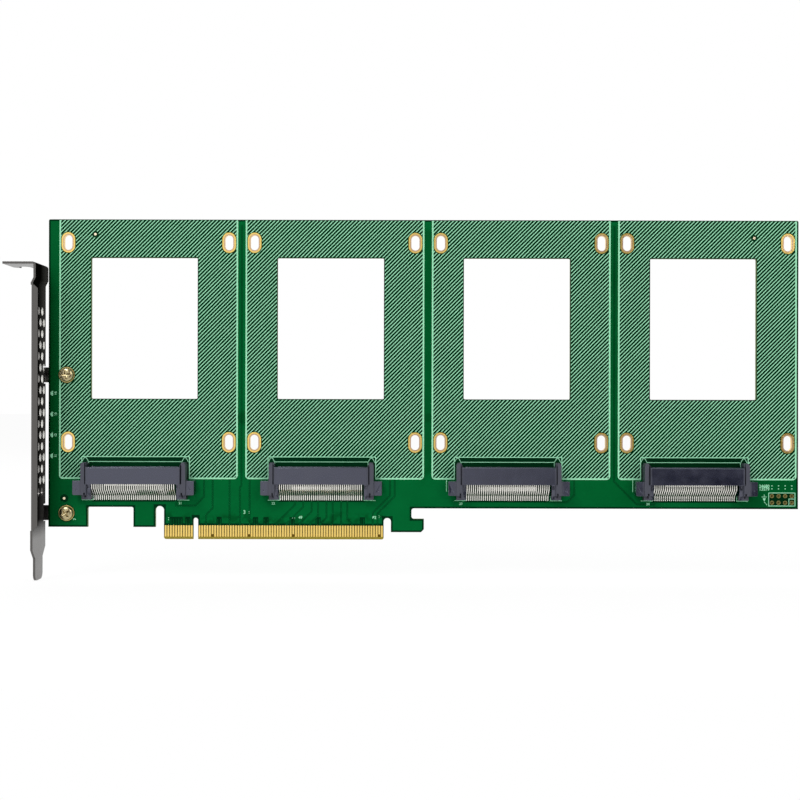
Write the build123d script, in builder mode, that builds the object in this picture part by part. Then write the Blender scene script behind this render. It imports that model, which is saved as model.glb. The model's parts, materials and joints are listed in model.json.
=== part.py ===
from build123d import *
import os

# Adapter card: one long circuit board that plugs into an expansion slot and carries four small
# drives, each on its own right-angle socket. Millimetres. The board stands upright: +X runs along
# it away from the bracket, +Y from the component side to the solder side, +Z up. The origin is at
# the middle of the key notch, on the card edge's lower end, half way through the board.

os.makedirs("parts", exist_ok=True)

# Board
board_thickness = 1.6
board_left = -56.55
board_top = 122.7
board_end_margin = 0.6
board_corner = 0.6
lower_edge = 12.0

# Card edge
contact_pitch = 1.0
contact_width = 0.7
contact_top = 5.3
contact_bottom = 1.0
contact_thickness = 0.05
contacts_before_key = 11
contacts_after_key = 71
key_to_contact = 1.5
edge_margin = 0.65
key_width = 1.9
key_top = 8.25
bevel_height = 0.95
bevel_depth = 0.36
edge_corner = 0.5
short_contact_bottom = 2.0
short_contacts_front = (17, 31, 48, 81)
short_contacts_back = (1,)

# Lower outline of the board
foot_bottom = 4.65
first_foot_width = 15.1
foot_gap_width = 17.55
foot_gap_top = 12.35
foot_gap_corner = 0.7
slot_gap_width = 3.3
slot_gap_top = 12.7
slot_gap_corner = 1.6
latch_gap_width = 2.8
latch_gap_top = 8.25
latch_gap_corner = 1.3
hook_width = 12.65
hook_bottom = 2.86
hook_top = 7.97
hook_neck = 7.9
hook_chamfer = 1.1
hook_corner = 0.9

# Drive bays
bay_count = 4
bay_margin = 4.05
bay_gap = 2.9
drive_hole_span = 61.72
drive_hole_rise = 76.6
drive_hole_bottom = 37.25
drive_slot_width = 3.2
drive_slot_length = 5.8
drive_rim = 1.0
plating_wall = 0.04
pad_thickness = 0.05
window_offset = -1.6
window_width = 40.8
window_bottom = 53.9
window_height = 54.1
window_corner = 0.5

# White print
ink_thickness = 0.03
ink_line = 0.33
ink_clearance = 0.3
bay_print_width = 68.6
bay_print_bottom = 23.07
hatch_pitch = 1.06
hatch_angle = 45
border_line = 0.6
border_corner = 1.5
fine_line = 0.25

# Socket leads
lead_pitch = 0.8
lead_width = 0.3
lead_thickness = 0.2
outer_lead_count = 40
inner_lead_count = 28
lead_shift = -0.3
outer_shoulder = 2.0
outer_foot_top = 16.7
outer_foot_length = 1.3
inner_shoulder = 0.7
inner_foot_top = 20.2
inner_foot_length = 1.2
lead_tip_inset = 0.6

# Drive socket, measured from the middle of its body
socket_offset = -4.9
body_bottom = 21.4
body_depth = 6.6
body_height = 6.2
body_chamfer = 0.35
seat_gap = 0.1
slot_end_room = 0.85
slot_end_wall = 1.3
slot_depth = 5.0
slot_low = 2.5
slot_gap = 1.6
slot_key_width = 1.3
slot_key_drop = 1.2
post_width = 2.05
post_rise = 1.6
post_height = 5.6
post_taper = 0.9
groove_width = 0.5
groove_floor = 4.2
wing_width = 3.15
wing_drop = 4.2
wing_depth = 5.4
wing_height = 5.0
wing_corner = 0.3
dimple_radius = 0.3
dimple_depth = 0.25
dimple_from_post = 1.8
dimple_drop = 2.2
leg_room = 0.55
leg_drop = 1.8
leg_height = 4.4
toe_height = 3.5
join = 0.1
upper_recess = (2.9, 19.7, 20.9, 0.5, 3.8)
lower_recess = (1.45, 16.3, 18.1, 0.3, 2.8)

# Socket pegs and hold-downs
peg_radius = 0.75
peg_clearance = 0.05
peg_length = 1.3
peg_from_post = 1.4
peg_drop = 1.8
hold_down_sheet = 0.3
hold_down_inner_room = 0.6
hold_down_outer_room = 0.4
hold_down_end_room = 0.7
hold_down_rise = 2.6
hold_down_blade_inset = 0.6

# Socket print
cutout_room = 0.7
cutout_rise = 2.06
body_line_rise = 0.04
post_mark_width = 2.7
leg_mark = 1.9
leg_mark_gap = 0.5
leg_mark_room = 0.05

# Bracket
bracket_gap = 2.25
sheet = 0.86
bracket_width = 18.42
bracket_back = 3.42
bracket_top = 105.1
bracket_height = 120.0
lip_width = 2.65
lip_top_slope = 1.3
lip_bottom_slope = 1.8
bend_outer = 1.26
bend_inner = 0.4
jog = 1.0
jog_drop = 5.9
jog_length = 2.0
lip_below_jog = 0.8
tab_length = 10.6
tab_notch_width = 4.4
tab_notch_depth = 6.4
tab_notch_from_plate = 6.1
tab_corner = 3.2
tongue_length = 8.4
tongue_width = 10.6
tongue_corner = 2.6
shoulder_length = 3.6
lip_above_shoulder = 7.35
vent_radius = 1.5
vent_rows = 17
vent_columns = 3
vent_pitch = 5.0
vent_row_pitch = 4.3
vent_below_lip = 9.2
vent_shift = 0.4
ear_height = 5.8
ear_overhang = 3.15
ear_corner = 1.0
ear_relief = 0.43

# Bracket screws
screw_from_left = 6.95
screw_rises = (9.95, 63.0)
screw_radius = 1.45
screw_hole_radius = 1.7
ear_clearance = 0.05
screw_tip = 0.34
screw_head_radius = 2.75
screw_head_height = 1.9
screw_head_round = 0.9
screw_rim = 1.3
recess_width = 0.8
recess_reach = 1.55
recess_cut = 1.2

# Unused header position
header_from_right = 10.0
header_from_edge = 2.45
header_pitch = 2.54
header_columns = 4
header_rows = 2
header_hole_radius = 0.5
header_rim = 0.3
header_box_margin = 1.35

# Alignment discs
disc_radius = 0.5
disc_clearing = 1.25
first_disc = (6.05, 15.6)
second_disc = (17.85, 5.7)
third_disc = (17.0, 6.7)

# Parts on the solder side
buffer_side = 5.0
buffer_height = 0.9
buffer_x = 33.0
buffer_z = 10.5
buffer_corner = 0.1
bulk_length = 7.3
bulk_width = 4.3
bulk_height = 1.9
bulk_corner = 0.2
bulk_below_window = 12.4
chip_length = 1.0
chip_width = 0.5
chip_height = 0.5
chip_corner = 0.08
coupling_pitch = 1.6
coupling_from_edge = 1.4
couplings_per_bay = 8
light_pitch = 8.0
light_bottom = 31.9
light_length = 1.6
light_width = 1.2
light_height = 0.8
light_inset = 0.4
light_corner = 0.1
resistor_from_light = 3.0
mark_inset = 0.75
mark_width = 0.95
mark_rise = 1.85

# Places worked out from the sizes above
half_board = board_thickness / 2
bay_pitch = bay_print_width + bay_gap
first_bay = board_left + bay_margin + bay_print_width / 2
bay_centres = [first_bay + bay_pitch * number for number in range(bay_count)]
socket_centres = [centre + socket_offset for centre in bay_centres]
board_right = bay_centres[-1] + bay_print_width / 2 + board_end_margin
card_left = -key_to_contact - (contacts_before_key - 1) * contact_pitch - edge_margin
card_right = key_to_contact + (contacts_after_key - 1) * contact_pitch + edge_margin
hook_left = card_right + latch_gap_width
hook_right = hook_left + hook_width
first_foot_right = board_left + first_foot_width
drive_pad_width = drive_slot_width + 2 * drive_rim
drive_pad_length = drive_slot_length + 2 * drive_rim
drive_slots = [
    (centre + side * drive_hole_span / 2, drive_hole_bottom + rise)
    for centre in bay_centres
    for side in (-1, 1)
    for rise in (0, drive_hole_rise)
]
first_bay_slots = drive_slots[:4]
window_left = first_bay + window_offset - window_width / 2
screw_places = [(board_left + screw_from_left, rise) for rise in screw_rises]
discs = [
    (board_left + first_disc[0], first_disc[1]),
    (board_left + second_disc[0], board_top - second_disc[1]),
    (board_right - third_disc[0], board_top - third_disc[1]),
]
header_left = board_right - header_from_right
header_bottom = lower_edge + header_from_edge
header_places = [
    (header_left + column * header_pitch, header_bottom + row * header_pitch)
    for column in range(header_columns)
    for row in range(header_rows)
]

lead_half = ((outer_lead_count - 1) * lead_pitch + lead_width) / 2
slot_half = lead_half + slot_end_room
slot_high = slot_low + slot_gap
body_half = slot_half + slot_end_wall
body_top = body_bottom + body_depth
post_outer = body_half + post_width
post_top = body_top + post_rise
wing_outer = post_outer + wing_width
wing_bottom = body_bottom - wing_drop
wing_top = wing_bottom + wing_depth
leg_inner = lead_half + leg_room
leg_bottom = wing_bottom - leg_drop
peg_across = post_outer - peg_from_post
peg_rise = body_bottom - peg_drop
cutout_half = post_outer + cutout_room
cutout_top = post_top + cutout_rise

plate_inner = board_left - bracket_gap
plate_outer = plate_inner - sheet
plate_front = bracket_back - bracket_width
plate_middle = bracket_back - bracket_width / 2
bracket_bottom = bracket_top - bracket_height
jog_high = bracket_top - jog_drop
jog_low = jog_high - jog_length
lip_top = jog_low - lip_below_jog
tongue_top = bracket_bottom + tongue_length
shoulder_bottom = tongue_top + shoulder_length
lip_bottom = shoulder_bottom + lip_above_shoulder
seat = half_board + pad_thickness
ear_end = screw_places[0][0] + ear_overhang

light_rises = [light_bottom + light_pitch * number for number in range(bay_count)]
front_face = Plane.XZ.offset(half_board)
back_face = Plane.XZ.offset(-half_board)
back_pads = Plane.XZ.offset(-seat)


def block(left, right, low, high, bottom, top, mode=Mode.ADD):
    """A box between two places on each axis."""
    with Locations(((left + right) / 2, (low + high) / 2, (bottom + top) / 2)):
        Box(right - left, high - low, top - bottom, mode=mode)


def raised(left, right, low, high, bottom, top, mode=Mode.ADD):
    """A box on the component side, between two heights above the board's face."""
    block(left, right, -half_board - high, -half_board - low, bottom, top, mode)


def field(left, right, bottom, top, mode=Mode.ADD):
    """A flat rectangle between two places on each axis of a sketch."""
    with Locations(((left + right) / 2, (bottom + top) / 2)):
        Rectangle(right - left, top - bottom, mode=mode)


def rounded_cut(left, right, bottom, top, corner):
    """A rectangle with round corners, taken out of a sketch."""
    with Locations(((left + right) / 2, (bottom + top) / 2)):
        RectangleRounded(right - left, top - bottom, corner, mode=Mode.SUBTRACT)


def nearest(corners, across, up):
    """The corner of a sketch that lies closest to a place."""
    return corners.sort_by(lambda corner: abs(corner.X - across) + abs(corner.Y - up))[0]


def upright_edges(part, across, rise):
    """The edges that run through the board's thickness at one place."""
    return [
        edge
        for edge in part.edges().filter_by(Axis.Y)
        if abs(edge.center().X - across) < 0.01 and abs(edge.center().Z - rise) < 0.01
    ]


def keep(piece, name):
    """Labels a finished piece and writes it to its own file."""
    piece.label = name
    export_step(piece, f"parts/{name}.step")


# Board, with its card edge, feet, retention hook, windows and holes
with BuildPart() as board:
    with BuildSketch(back_face):
        below = -foot_gap_top
        field(board_left, board_right, lower_edge, board_top)
        field(board_left, card_left, foot_bottom, lower_edge)
        field(card_left, card_right, 0, lower_edge)
        field(card_right, hook_right, hook_bottom, lower_edge)
        second_foot = first_foot_right + foot_gap_width
        rounded_cut(first_foot_right, second_foot, below, foot_gap_top, foot_gap_corner)
        rounded_cut(card_left - slot_gap_width, card_left, below, slot_gap_top, slot_gap_corner)
        rounded_cut(card_right, hook_left, below, latch_gap_top, latch_gap_corner)
        neck_left = hook_left + hook_neck
        rounded_cut(neck_left, hook_right + hook_neck, hook_top, lower_edge, hook_corner)
        with Locations((0, 0)):
            SlotOverall(2 * key_top, key_width, rotation=90, mode=Mode.SUBTRACT)
        with Locations(
            *[
                (centre + window_offset, window_bottom + window_height / 2)
                for centre in bay_centres
            ]
        ):
            RectangleRounded(window_width, window_height, window_corner, mode=Mode.SUBTRACT)
        with Locations(*drive_slots):
            SlotOverall(drive_slot_length, drive_slot_width, rotation=90, mode=Mode.SUBTRACT)
        with Locations(*screw_places):
            Circle(screw_hole_radius, mode=Mode.SUBTRACT)
        with Locations(
            *[(centre + side * peg_across, peg_rise) for centre in socket_centres for side in (-1, 1)]
        ):
            Circle(peg_radius + peg_clearance, mode=Mode.SUBTRACT)
        with Locations(*header_places):
            Circle(header_hole_radius, mode=Mode.SUBTRACT)
    extrude(amount=board_thickness)
    for across in (board_left, board_right):
        fillet(upright_edges(board, across, board_top), board_corner)
    for across in (card_left, card_right):
        chamfer(upright_edges(board, across, 0), edge_corner)
    chamfer(upright_edges(board, hook_right, hook_bottom), hook_chamfer)
    with BuildSketch(Plane.YZ.offset(card_left - join)):
        for side in (-1, 1):
            with BuildLine():
                Polyline(
                    (side * half_board, 0),
                    (side * (half_board - bevel_depth), 0),
                    (side * half_board, bevel_height),
                    close=True,
                )
            make_face()
    extrude(amount=card_right - card_left + 2 * join, mode=Mode.SUBTRACT)
keep(board.part, "board")


def contact_row(short_ones):
    """Gold contacts of one side, lying on the XZ plane and rising along its normal."""
    before = [-key_to_contact - contact_pitch * step for step in range(contacts_before_key)]
    after = [key_to_contact + contact_pitch * step for step in range(contacts_after_key)]
    with BuildPart() as row:
        with BuildSketch(Plane.XZ):
            for bottom, shortened in ((contact_bottom, False), (short_contact_bottom, True)):
                middles = [
                    (middle, (bottom + contact_top) / 2)
                    for number, middle in enumerate(before[::-1] + after, start=1)
                    if (number in short_ones) == shortened
                ]
                with Locations(*middles):
                    Rectangle(contact_width, contact_top - bottom)
        extrude(amount=contact_thickness)
    return row.part


keep(Pos(0, -half_board, 0) * contact_row(short_contacts_front), "edge_contacts_front")
back_contacts = Pos(0, half_board + contact_thickness, 0) * contact_row(short_contacts_back)
keep(back_contacts, "edge_contacts_back")

# Plated drive slots: a land on each face, joined by the plated wall of the slot
with BuildPart() as slot_plating:
    with BuildSketch(back_pads):
        with Locations(*first_bay_slots):
            SlotOverall(drive_pad_length, drive_pad_width, rotation=90)
    extrude(amount=2 * seat)
    with BuildSketch(back_face):
        with Locations(*first_bay_slots):
            SlotOverall(drive_pad_length + join, drive_pad_width + join, rotation=90)
            SlotOverall(drive_slot_length, drive_slot_width, rotation=90, mode=Mode.SUBTRACT)
    extrude(amount=board_thickness, mode=Mode.SUBTRACT)
    with BuildSketch(back_pads):
        with Locations(*first_bay_slots):
            SlotOverall(
                drive_slot_length - 2 * plating_wall,
                drive_slot_width - 2 * plating_wall,
                rotation=90,
            )
    extrude(amount=2 * seat, mode=Mode.SUBTRACT)


def plated_holes(places, hole_radius, rim):
    """A land on each face of the board and a plated wall, at each of several round holes."""
    with BuildPart() as plating:
        with BuildSketch(back_pads):
            with Locations(*places):
                Circle(hole_radius + rim)
        extrude(amount=2 * seat)
        with BuildSketch(back_face):
            with Locations(*places):
                Circle(hole_radius + rim + join)
                Circle(hole_radius, mode=Mode.SUBTRACT)
        extrude(amount=board_thickness, mode=Mode.SUBTRACT)
        with BuildSketch(back_pads):
            with Locations(*places):
                Circle(hole_radius - plating_wall)
        extrude(amount=2 * seat, mode=Mode.SUBTRACT)
    return plating.part


keep(plated_holes(screw_places, screw_hole_radius, screw_rim), "screw_hole_plating")
keep(plated_holes(header_places, header_hole_radius, header_rim), "header_plating")

# Alignment discs on the component side
with BuildPart() as alignment_discs:
    with BuildSketch(front_face):
        with Locations(*discs):
            Circle(disc_radius)
    extrude(amount=pad_thickness)
keep(alignment_discs.part, "alignment_discs")

# Hatched print of the first bay: slanted lines over the area where a drive lies, and its border
print_left = first_bay - bay_print_width / 2
print_right = print_left + bay_print_width
print_top = board_top - ink_clearance
print_height = print_top - bay_print_bottom
hatch_reach = bay_print_width + print_height
cutout_left = socket_centres[0] - cutout_half
cutout_right = socket_centres[0] + cutout_half
with BuildPart() as bay_print:
    with BuildSketch(front_face):
        with Locations((first_bay, bay_print_bottom + print_height / 2)):
            with GridLocations(hatch_pitch * 2**0.5, 1, int(hatch_reach / hatch_pitch), 1):
                Rectangle(hatch_reach, ink_line, rotation=hatch_angle)
        with BuildSketch(mode=Mode.INTERSECT):
            field(print_left, print_right, bay_print_bottom, print_top)
            field(cutout_left, cutout_right, bay_print_bottom - join, cutout_top, Mode.SUBTRACT)
            rounded_cut(
                window_left - ink_clearance,
                window_left + window_width + ink_clearance,
                window_bottom - ink_clearance,
                window_bottom + window_height + ink_clearance,
                window_corner,
            )
            with Locations(*first_bay_slots):
                SlotOverall(
                    drive_pad_length + 2 * ink_clearance,
                    drive_pad_width + 2 * ink_clearance,
                    rotation=90,
                    mode=Mode.SUBTRACT,
                )
        for left in (print_left, print_right - border_line):
            field(left, left + border_line, bay_print_bottom, print_top)
        for left, right in ((print_left, cutout_left), (cutout_right, print_right)):
            field(left, right, bay_print_bottom, bay_print_bottom + border_line)
        for middle in (cutout_left, cutout_right):
            left = middle - ink_line / 2
            field(left, left + ink_line, bay_print_bottom, cutout_top)
        field(cutout_left, cutout_right, cutout_top - ink_line / 2, cutout_top + ink_line / 2)
    extrude(amount=ink_thickness)
    for across in (print_left, print_right):
        fillet(upright_edges(bay_print, across, bay_print_bottom), border_corner)


def cleared_print(shift):
    """The bay print at its own bay, kept clear of the bracket's screws and the alignment discs."""
    with BuildPart() as cleared:
        add(Pos(shift, 0, 0) * bay_print.part)
        with BuildSketch(front_face):
            with Locations(*screw_places):
                Circle(screw_hole_radius + screw_rim + ink_clearance)
            with Locations(*discs):
                Circle(disc_clearing)
        extrude(amount=ink_thickness, mode=Mode.SUBTRACT)
    return cleared.part


# Fine print round the sockets, the status lights and the header
with BuildPart() as fine_print:
    with BuildSketch(front_face):
        for centre in socket_centres:
            line_half = cutout_half - post_mark_width
            line_low = post_top + body_line_rise
            field(centre - line_half, centre + line_half, line_low, line_low + fine_line)
            for side in (-1, 1):
                outer = centre + side * cutout_half
                inner = centre + side * (leg_inner - leg_mark_room)
                low = leg_bottom - leg_mark_gap
                field(min(outer, inner), max(outer, inner), low, low + fine_line)
                field(inner - fine_line / 2, inner + fine_line / 2, low, low + leg_mark)
        for rise in light_rises:
            tip = board_left + mark_inset
            low_end = (tip + mark_width, rise - mark_rise / 2)
            high_end = (tip + mark_width, rise + mark_rise / 2)
            with BuildLine():
                ThreePointArc(low_end, (tip, rise), high_end)
                Line(high_end, low_end)
            make_face()
        box_width = (header_columns - 1) * header_pitch + 2 * header_box_margin
        box_height = (header_rows - 1) * header_pitch + 2 * header_box_margin
        box_left = header_left - header_box_margin
        box_bottom = header_bottom - header_box_margin
        with Locations((box_left + box_width / 2, box_bottom + box_height / 2)):
            Rectangle(box_width, box_height)
            Rectangle(box_width - 2 * fine_line, box_height - 2 * fine_line, mode=Mode.SUBTRACT)
    extrude(amount=ink_thickness)
keep(fine_print.part, "fine_print")

# Moulded socket body, with wings, guide posts, legs, pegs and the slot for a drive's tongue
with BuildPart() as socket_body:
    raised(-body_half, body_half, seat_gap, body_height, body_bottom, body_top)
    top_edges = socket_body.edges().filter_by(Axis.X).group_by(Axis.Y)[0]
    chamfer(top_edges.sort_by(Axis.Z)[-1], body_chamfer)
    for side in (-1, 1):
        post_left = min(side * (body_half - join), side * post_outer)
        post_right = max(side * (body_half - join), side * post_outer)
        with BuildSketch(Plane.XZ.offset(half_board + seat_gap)):
            with BuildLine():
                Polyline(
                    (post_left, wing_bottom),
                    (post_right, wing_bottom),
                    (post_right, post_top - post_taper),
                    (post_right - post_taper / 2, post_top),
                    (post_left + post_taper / 2, post_top),
                    (post_left, post_top - post_taper),
                    close=True,
                )
            make_face()
        extrude(amount=post_height - seat_gap)
        wing_left = min(side * (post_outer - join), side * wing_outer)
        wing_right = max(side * (post_outer - join), side * wing_outer)
        raised(wing_left, wing_right, seat_gap, wing_height, wing_bottom, wing_top)
        chamfer(upright_edges(socket_body, side * wing_outer, wing_bottom), wing_corner)
        leg_left = min(side * leg_inner, side * post_outer)
        leg_right = max(side * leg_inner, side * post_outer)
        raised(leg_left, leg_right, seat_gap, leg_height, wing_bottom, body_bottom + join)
        raised(leg_left, leg_right, seat_gap, toe_height, leg_bottom, wing_bottom + join)
        groove = (side * body_half, side * (body_half + groove_width))
        ends = (groove_floor, body_height, body_bottom, post_top + join)
        raised(min(groove), max(groove), *ends, Mode.SUBTRACT)
        with BuildSketch(Plane.XZ.offset(half_board + wing_height)):
            with Locations((side * (post_outer + dimple_from_post), body_bottom - dimple_drop)):
                Circle(dimple_radius)
        extrude(amount=-dimple_depth, mode=Mode.SUBTRACT)
    floor = body_top - slot_depth
    mouth = body_top + join
    key_right = slot_key_width - slot_half
    key_low = slot_low - slot_key_drop
    raised(-slot_half, slot_half, slot_low, slot_high, floor, mouth, Mode.SUBTRACT)
    raised(-slot_half, key_right, key_low, slot_low, floor, mouth, Mode.SUBTRACT)
    for count, low in (
        (outer_lead_count, slot_high - lead_thickness),
        (inner_lead_count, slot_low),
    ):
        half = ((count - 1) * lead_pitch + lead_width) / 2
        high = low + lead_thickness
        left, right = lead_shift - half, lead_shift + half
        raised(left, right, low, high, body_bottom - join, floor, Mode.SUBTRACT)
    for side in (-1, 1):
        for from_post, bottom, top, half_width, low in (upper_recess, lower_recess):
            middle = side * (post_outer - from_post)
            left, right = middle - half_width, middle + half_width
            raised(left, right, low, body_height, bottom, top, Mode.SUBTRACT)
        with BuildSketch(Plane.XZ.offset(half_board + seat_gap)):
            with Locations((side * peg_across, peg_rise)):
                Circle(peg_radius)
        extrude(amount=-peg_length)

# Metal hold-downs: a foot soldered to the board and a blade that stands up into the wing
with BuildPart() as hold_downs:
    for side in (-1, 1):
        ends = (
            side * (post_outer + hold_down_inner_room),
            side * (wing_outer - hold_down_outer_room),
        )
        blade_left = sum(ends) / 2 - hold_down_sheet / 2
        foot_bottom_end = wing_bottom + hold_down_end_room
        foot_top_end = wing_top - hold_down_end_room
        raised(min(ends), max(ends), 0, hold_down_sheet, foot_bottom_end, foot_top_end)
        raised(
            blade_left,
            blade_left + hold_down_sheet,
            0,
            hold_down_rise,
            foot_bottom_end + hold_down_blade_inset,
            foot_top_end - hold_down_blade_inset,
        )

with BuildPart() as fitted_body:
    add(socket_body.part)
    add(hold_downs.part, mode=Mode.SUBTRACT)


def lead_row(count, exit_low, shoulder, foot_top, length):
    """A row of flat leads: tip in the slot, through the body, bent down to a foot on the board."""
    tip = body_top - lead_tip_inset
    shoulder_end = body_bottom - shoulder
    exit_high = exit_low + lead_thickness
    outline = (
        (exit_high, tip),
        (exit_low, tip),
        (exit_low, shoulder_end + lead_thickness),
        (0, foot_top + lead_thickness),
        (0, foot_top - length),
        (lead_thickness, foot_top - length),
        (lead_thickness, foot_top),
        (exit_high, shoulder_end),
    )
    first = lead_shift - (count - 1) * lead_pitch / 2 - lead_width / 2
    with BuildPart() as single:
        with BuildSketch(Plane.YZ.offset(first)):
            with BuildLine():
                Polyline(*[(-half_board - height, rise) for height, rise in outline], close=True)
            make_face()
        extrude(amount=lead_width)
    with BuildPart() as row:
        with Locations(*[(lead_pitch * number, 0, 0) for number in range(count)]):
            add(single.part)
    return row.part


outer_leads = lead_row(
    outer_lead_count,
    slot_high - lead_thickness,
    outer_shoulder,
    outer_foot_top,
    outer_foot_length,
)
inner_leads = lead_row(
    inner_lead_count,
    slot_low,
    inner_shoulder,
    inner_foot_top,
    inner_foot_length,
)

for number, centre in enumerate(socket_centres, start=1):
    to_socket = Pos(centre, 0, 0)
    to_bay = bay_pitch * (number - 1)
    keep(to_socket * fitted_body.part, f"socket_{number}_body")
    keep(to_socket * outer_leads, f"socket_{number}_outer_leads")
    keep(to_socket * inner_leads, f"socket_{number}_inner_leads")
    keep(to_socket * hold_downs.part, f"socket_{number}_hold_downs")
    keep(Pos(to_bay, 0, 0) * slot_plating.part, f"bay_{number}_slot_plating")
    keep(cleared_print(to_bay), f"bay_{number}_print")

# Bracket, folded from one sheet: plate with a lip, jogged tab, tongue, vents and two ears
with BuildPart() as io_bracket:
    with BuildSketch(Plane.XY.offset(lip_bottom)) as fold:
        lip_end = plate_outer + lip_width
        with BuildLine():
            Polyline(
                (plate_inner, bracket_back),
                (plate_outer, bracket_back),
                (plate_outer, plate_front),
                (lip_end, plate_front),
                (lip_end, plate_front + sheet),
                (plate_inner, plate_front + sheet),
                close=True,
            )
        make_face()
        fillet(nearest(fold.vertices(), plate_outer, plate_front), bend_outer)
        fillet(nearest(fold.vertices(), plate_inner, plate_front + sheet), bend_inner)
    extrude(amount=lip_top - lip_bottom)
    with BuildSketch(Plane.XZ.offset(-plate_front - sheet)):
        for end, slope in ((lip_top, -lip_top_slope), (lip_bottom, lip_bottom_slope)):
            with BuildLine():
                Polyline(
                    (plate_outer + bend_outer, end),
                    (lip_end, end + slope),
                    (lip_end + join, end + slope),
                    (lip_end + join, end - slope),
                    (plate_outer + bend_outer, end - slope),
                    close=True,
                )
            make_face()
    extrude(amount=sheet, mode=Mode.SUBTRACT)
    with BuildSketch(Plane.YZ.offset(plate_outer)) as plate_ends:
        half_tongue = tongue_width / 2
        with BuildLine():
            Polyline(
                (plate_front + bend_outer, lip_bottom + join),
                (plate_front + bend_outer, lip_bottom),
                (plate_front, lip_bottom),
                (plate_front, shoulder_bottom),
                (plate_middle - half_tongue, tongue_top),
                (plate_middle - half_tongue, bracket_bottom),
                (plate_middle + half_tongue, bracket_bottom),
                (plate_middle + half_tongue, tongue_top),
                (bracket_back, shoulder_bottom),
                (bracket_back, lip_bottom + join),
                close=True,
            )
        make_face()
        fillet(plate_ends.vertices().group_by(Axis.Y)[0], tongue_corner)
        field(plate_front, bracket_back, lip_top, jog_low)
    extrude(amount=sheet)
    with BuildSketch(Plane.XZ.offset(-bracket_back)) as crank:
        tab_end = plate_outer - tab_length
        with BuildLine():
            Polyline(
                (plate_outer, lip_top),
                (plate_outer, jog_low),
                (plate_outer + jog, jog_high),
                (plate_outer + jog, bracket_top - sheet),
                (tab_end, bracket_top - sheet),
                (tab_end, bracket_top),
                (plate_inner + jog, bracket_top),
                (plate_inner + jog, jog_high),
                (plate_inner, jog_low),
                (plate_inner, lip_top),
                close=True,
            )
        make_face()
        fillet(nearest(crank.vertices(), plate_inner + jog, bracket_top), bend_outer)
        fillet(nearest(crank.vertices(), plate_outer + jog, bracket_top - sheet), bend_inner)
    extrude(amount=bracket_width)
    with BuildSketch(Plane.XY.offset(bracket_top - sheet)):
        with Locations((plate_outer - tab_notch_from_plate, bracket_back)):
            SlotOverall(2 * tab_notch_depth, tab_notch_width, rotation=90)
        with BuildLine():
            Polyline(
                (tab_end, bracket_back),
                (tab_end + tab_corner, bracket_back),
                (tab_end, bracket_back - tab_corner),
                close=True,
            )
        make_face()
    extrude(amount=sheet, mode=Mode.SUBTRACT)
    with BuildSketch(Plane.YZ.offset(plate_outer)):
        for row in range(vent_rows):
            stagger = vent_pitch / 4 if row % 2 else -vent_pitch / 4
            rise = lip_top - vent_below_lip - row * vent_row_pitch
            with Locations((plate_middle + vent_shift + stagger, rise)):
                with GridLocations(vent_pitch, 1, vent_columns, 1):
                    Circle(vent_radius)
    extrude(amount=sheet, mode=Mode.SUBTRACT)
    for place in screw_places:
        low = place[1] - ear_height / 2
        high = place[1] + ear_height / 2
        relief = (low - ear_relief, high + ear_relief)
        block(plate_outer, plate_inner, seat, bracket_back, *relief, Mode.SUBTRACT)
        with BuildSketch(Plane.XY.offset(low)) as ear:
            field(plate_outer, ear_end, seat, seat + sheet)
            fillet(nearest(ear.vertices(), plate_outer, seat + sheet), bend_outer / 2)
        extrude(amount=ear_height)
        for rise in (low, high):
            fillet(upright_edges(io_bracket, ear_end, rise), ear_corner)
    with BuildSketch(Plane.XZ.offset(-seat - sheet)):
        with Locations(*screw_places):
            Circle(screw_radius + ear_clearance)
    extrude(amount=sheet, mode=Mode.SUBTRACT)
keep(io_bracket.part, "io_bracket")

# Pan head screws with a cross recess, through the board into the bracket's ears
with BuildPart() as screw:
    with BuildSketch(Plane.XZ.offset(seat)):
        Circle(screw_head_radius)
    extrude(amount=screw_head_height)
    fillet(screw.faces().sort_by(Axis.Y)[0].edges(), screw_head_round)
    with BuildSketch(Plane.XZ.offset(seat)):
        Circle(screw_radius)
    extrude(amount=-2 * seat - sheet - screw_tip)
    with BuildSketch(Plane.XZ.offset(seat + screw_head_height)):
        Rectangle(2 * recess_reach, recess_width)
        Rectangle(recess_width, 2 * recess_reach)
    extrude(amount=-recess_cut, mode=Mode.SUBTRACT)
for name, place in zip(("bracket_screw_lower", "bracket_screw_upper"), screw_places):
    keep(Pos(place[0], 0, place[1]) * screw.part, name)


def solder_side_blocks(places, across, rise, height, corner):
    """Equal small blocks on the solder side, with round upright corners."""
    with BuildPart() as blocks:
        with BuildSketch(back_face):
            with Locations(*places):
                RectangleRounded(across, rise, corner)
        extrude(amount=-height)
    return blocks.part


bulk_places = [(centre, window_bottom - bulk_below_window) for centre in bay_centres]
coupling_places = [
    (
        centre + (number - (couplings_per_bay - 1) / 2) * coupling_pitch,
        lower_edge + coupling_from_edge,
    )
    for centre in socket_centres
    for number in range(couplings_per_bay)
]
light_places = [(board_left + light_inset + light_length / 2, rise) for rise in light_rises]
resistor_places = [(place[0] + resistor_from_light, place[1]) for place in light_places]
clock_buffer = solder_side_blocks(
    [(buffer_x, buffer_z)], buffer_side, buffer_side, buffer_height, buffer_corner
)
bulk_capacitors = solder_side_blocks(bulk_places, bulk_length, bulk_width, bulk_height, bulk_corner)
coupling_capacitors = solder_side_blocks(
    coupling_places, chip_width, chip_length, chip_height, chip_corner
)
status_lights = solder_side_blocks(
    light_places, light_length, light_width, light_height, light_corner
)
light_resistors = solder_side_blocks(
    resistor_places, chip_length, chip_width, chip_height, chip_corner
)
keep(clock_buffer, "clock_buffer")
keep(bulk_capacitors, "bulk_capacitors")
keep(coupling_capacitors, "coupling_capacitors")
keep(status_lights, "status_lights")
keep(light_resistors, "light_resistors")
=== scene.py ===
import json
import math

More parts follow.
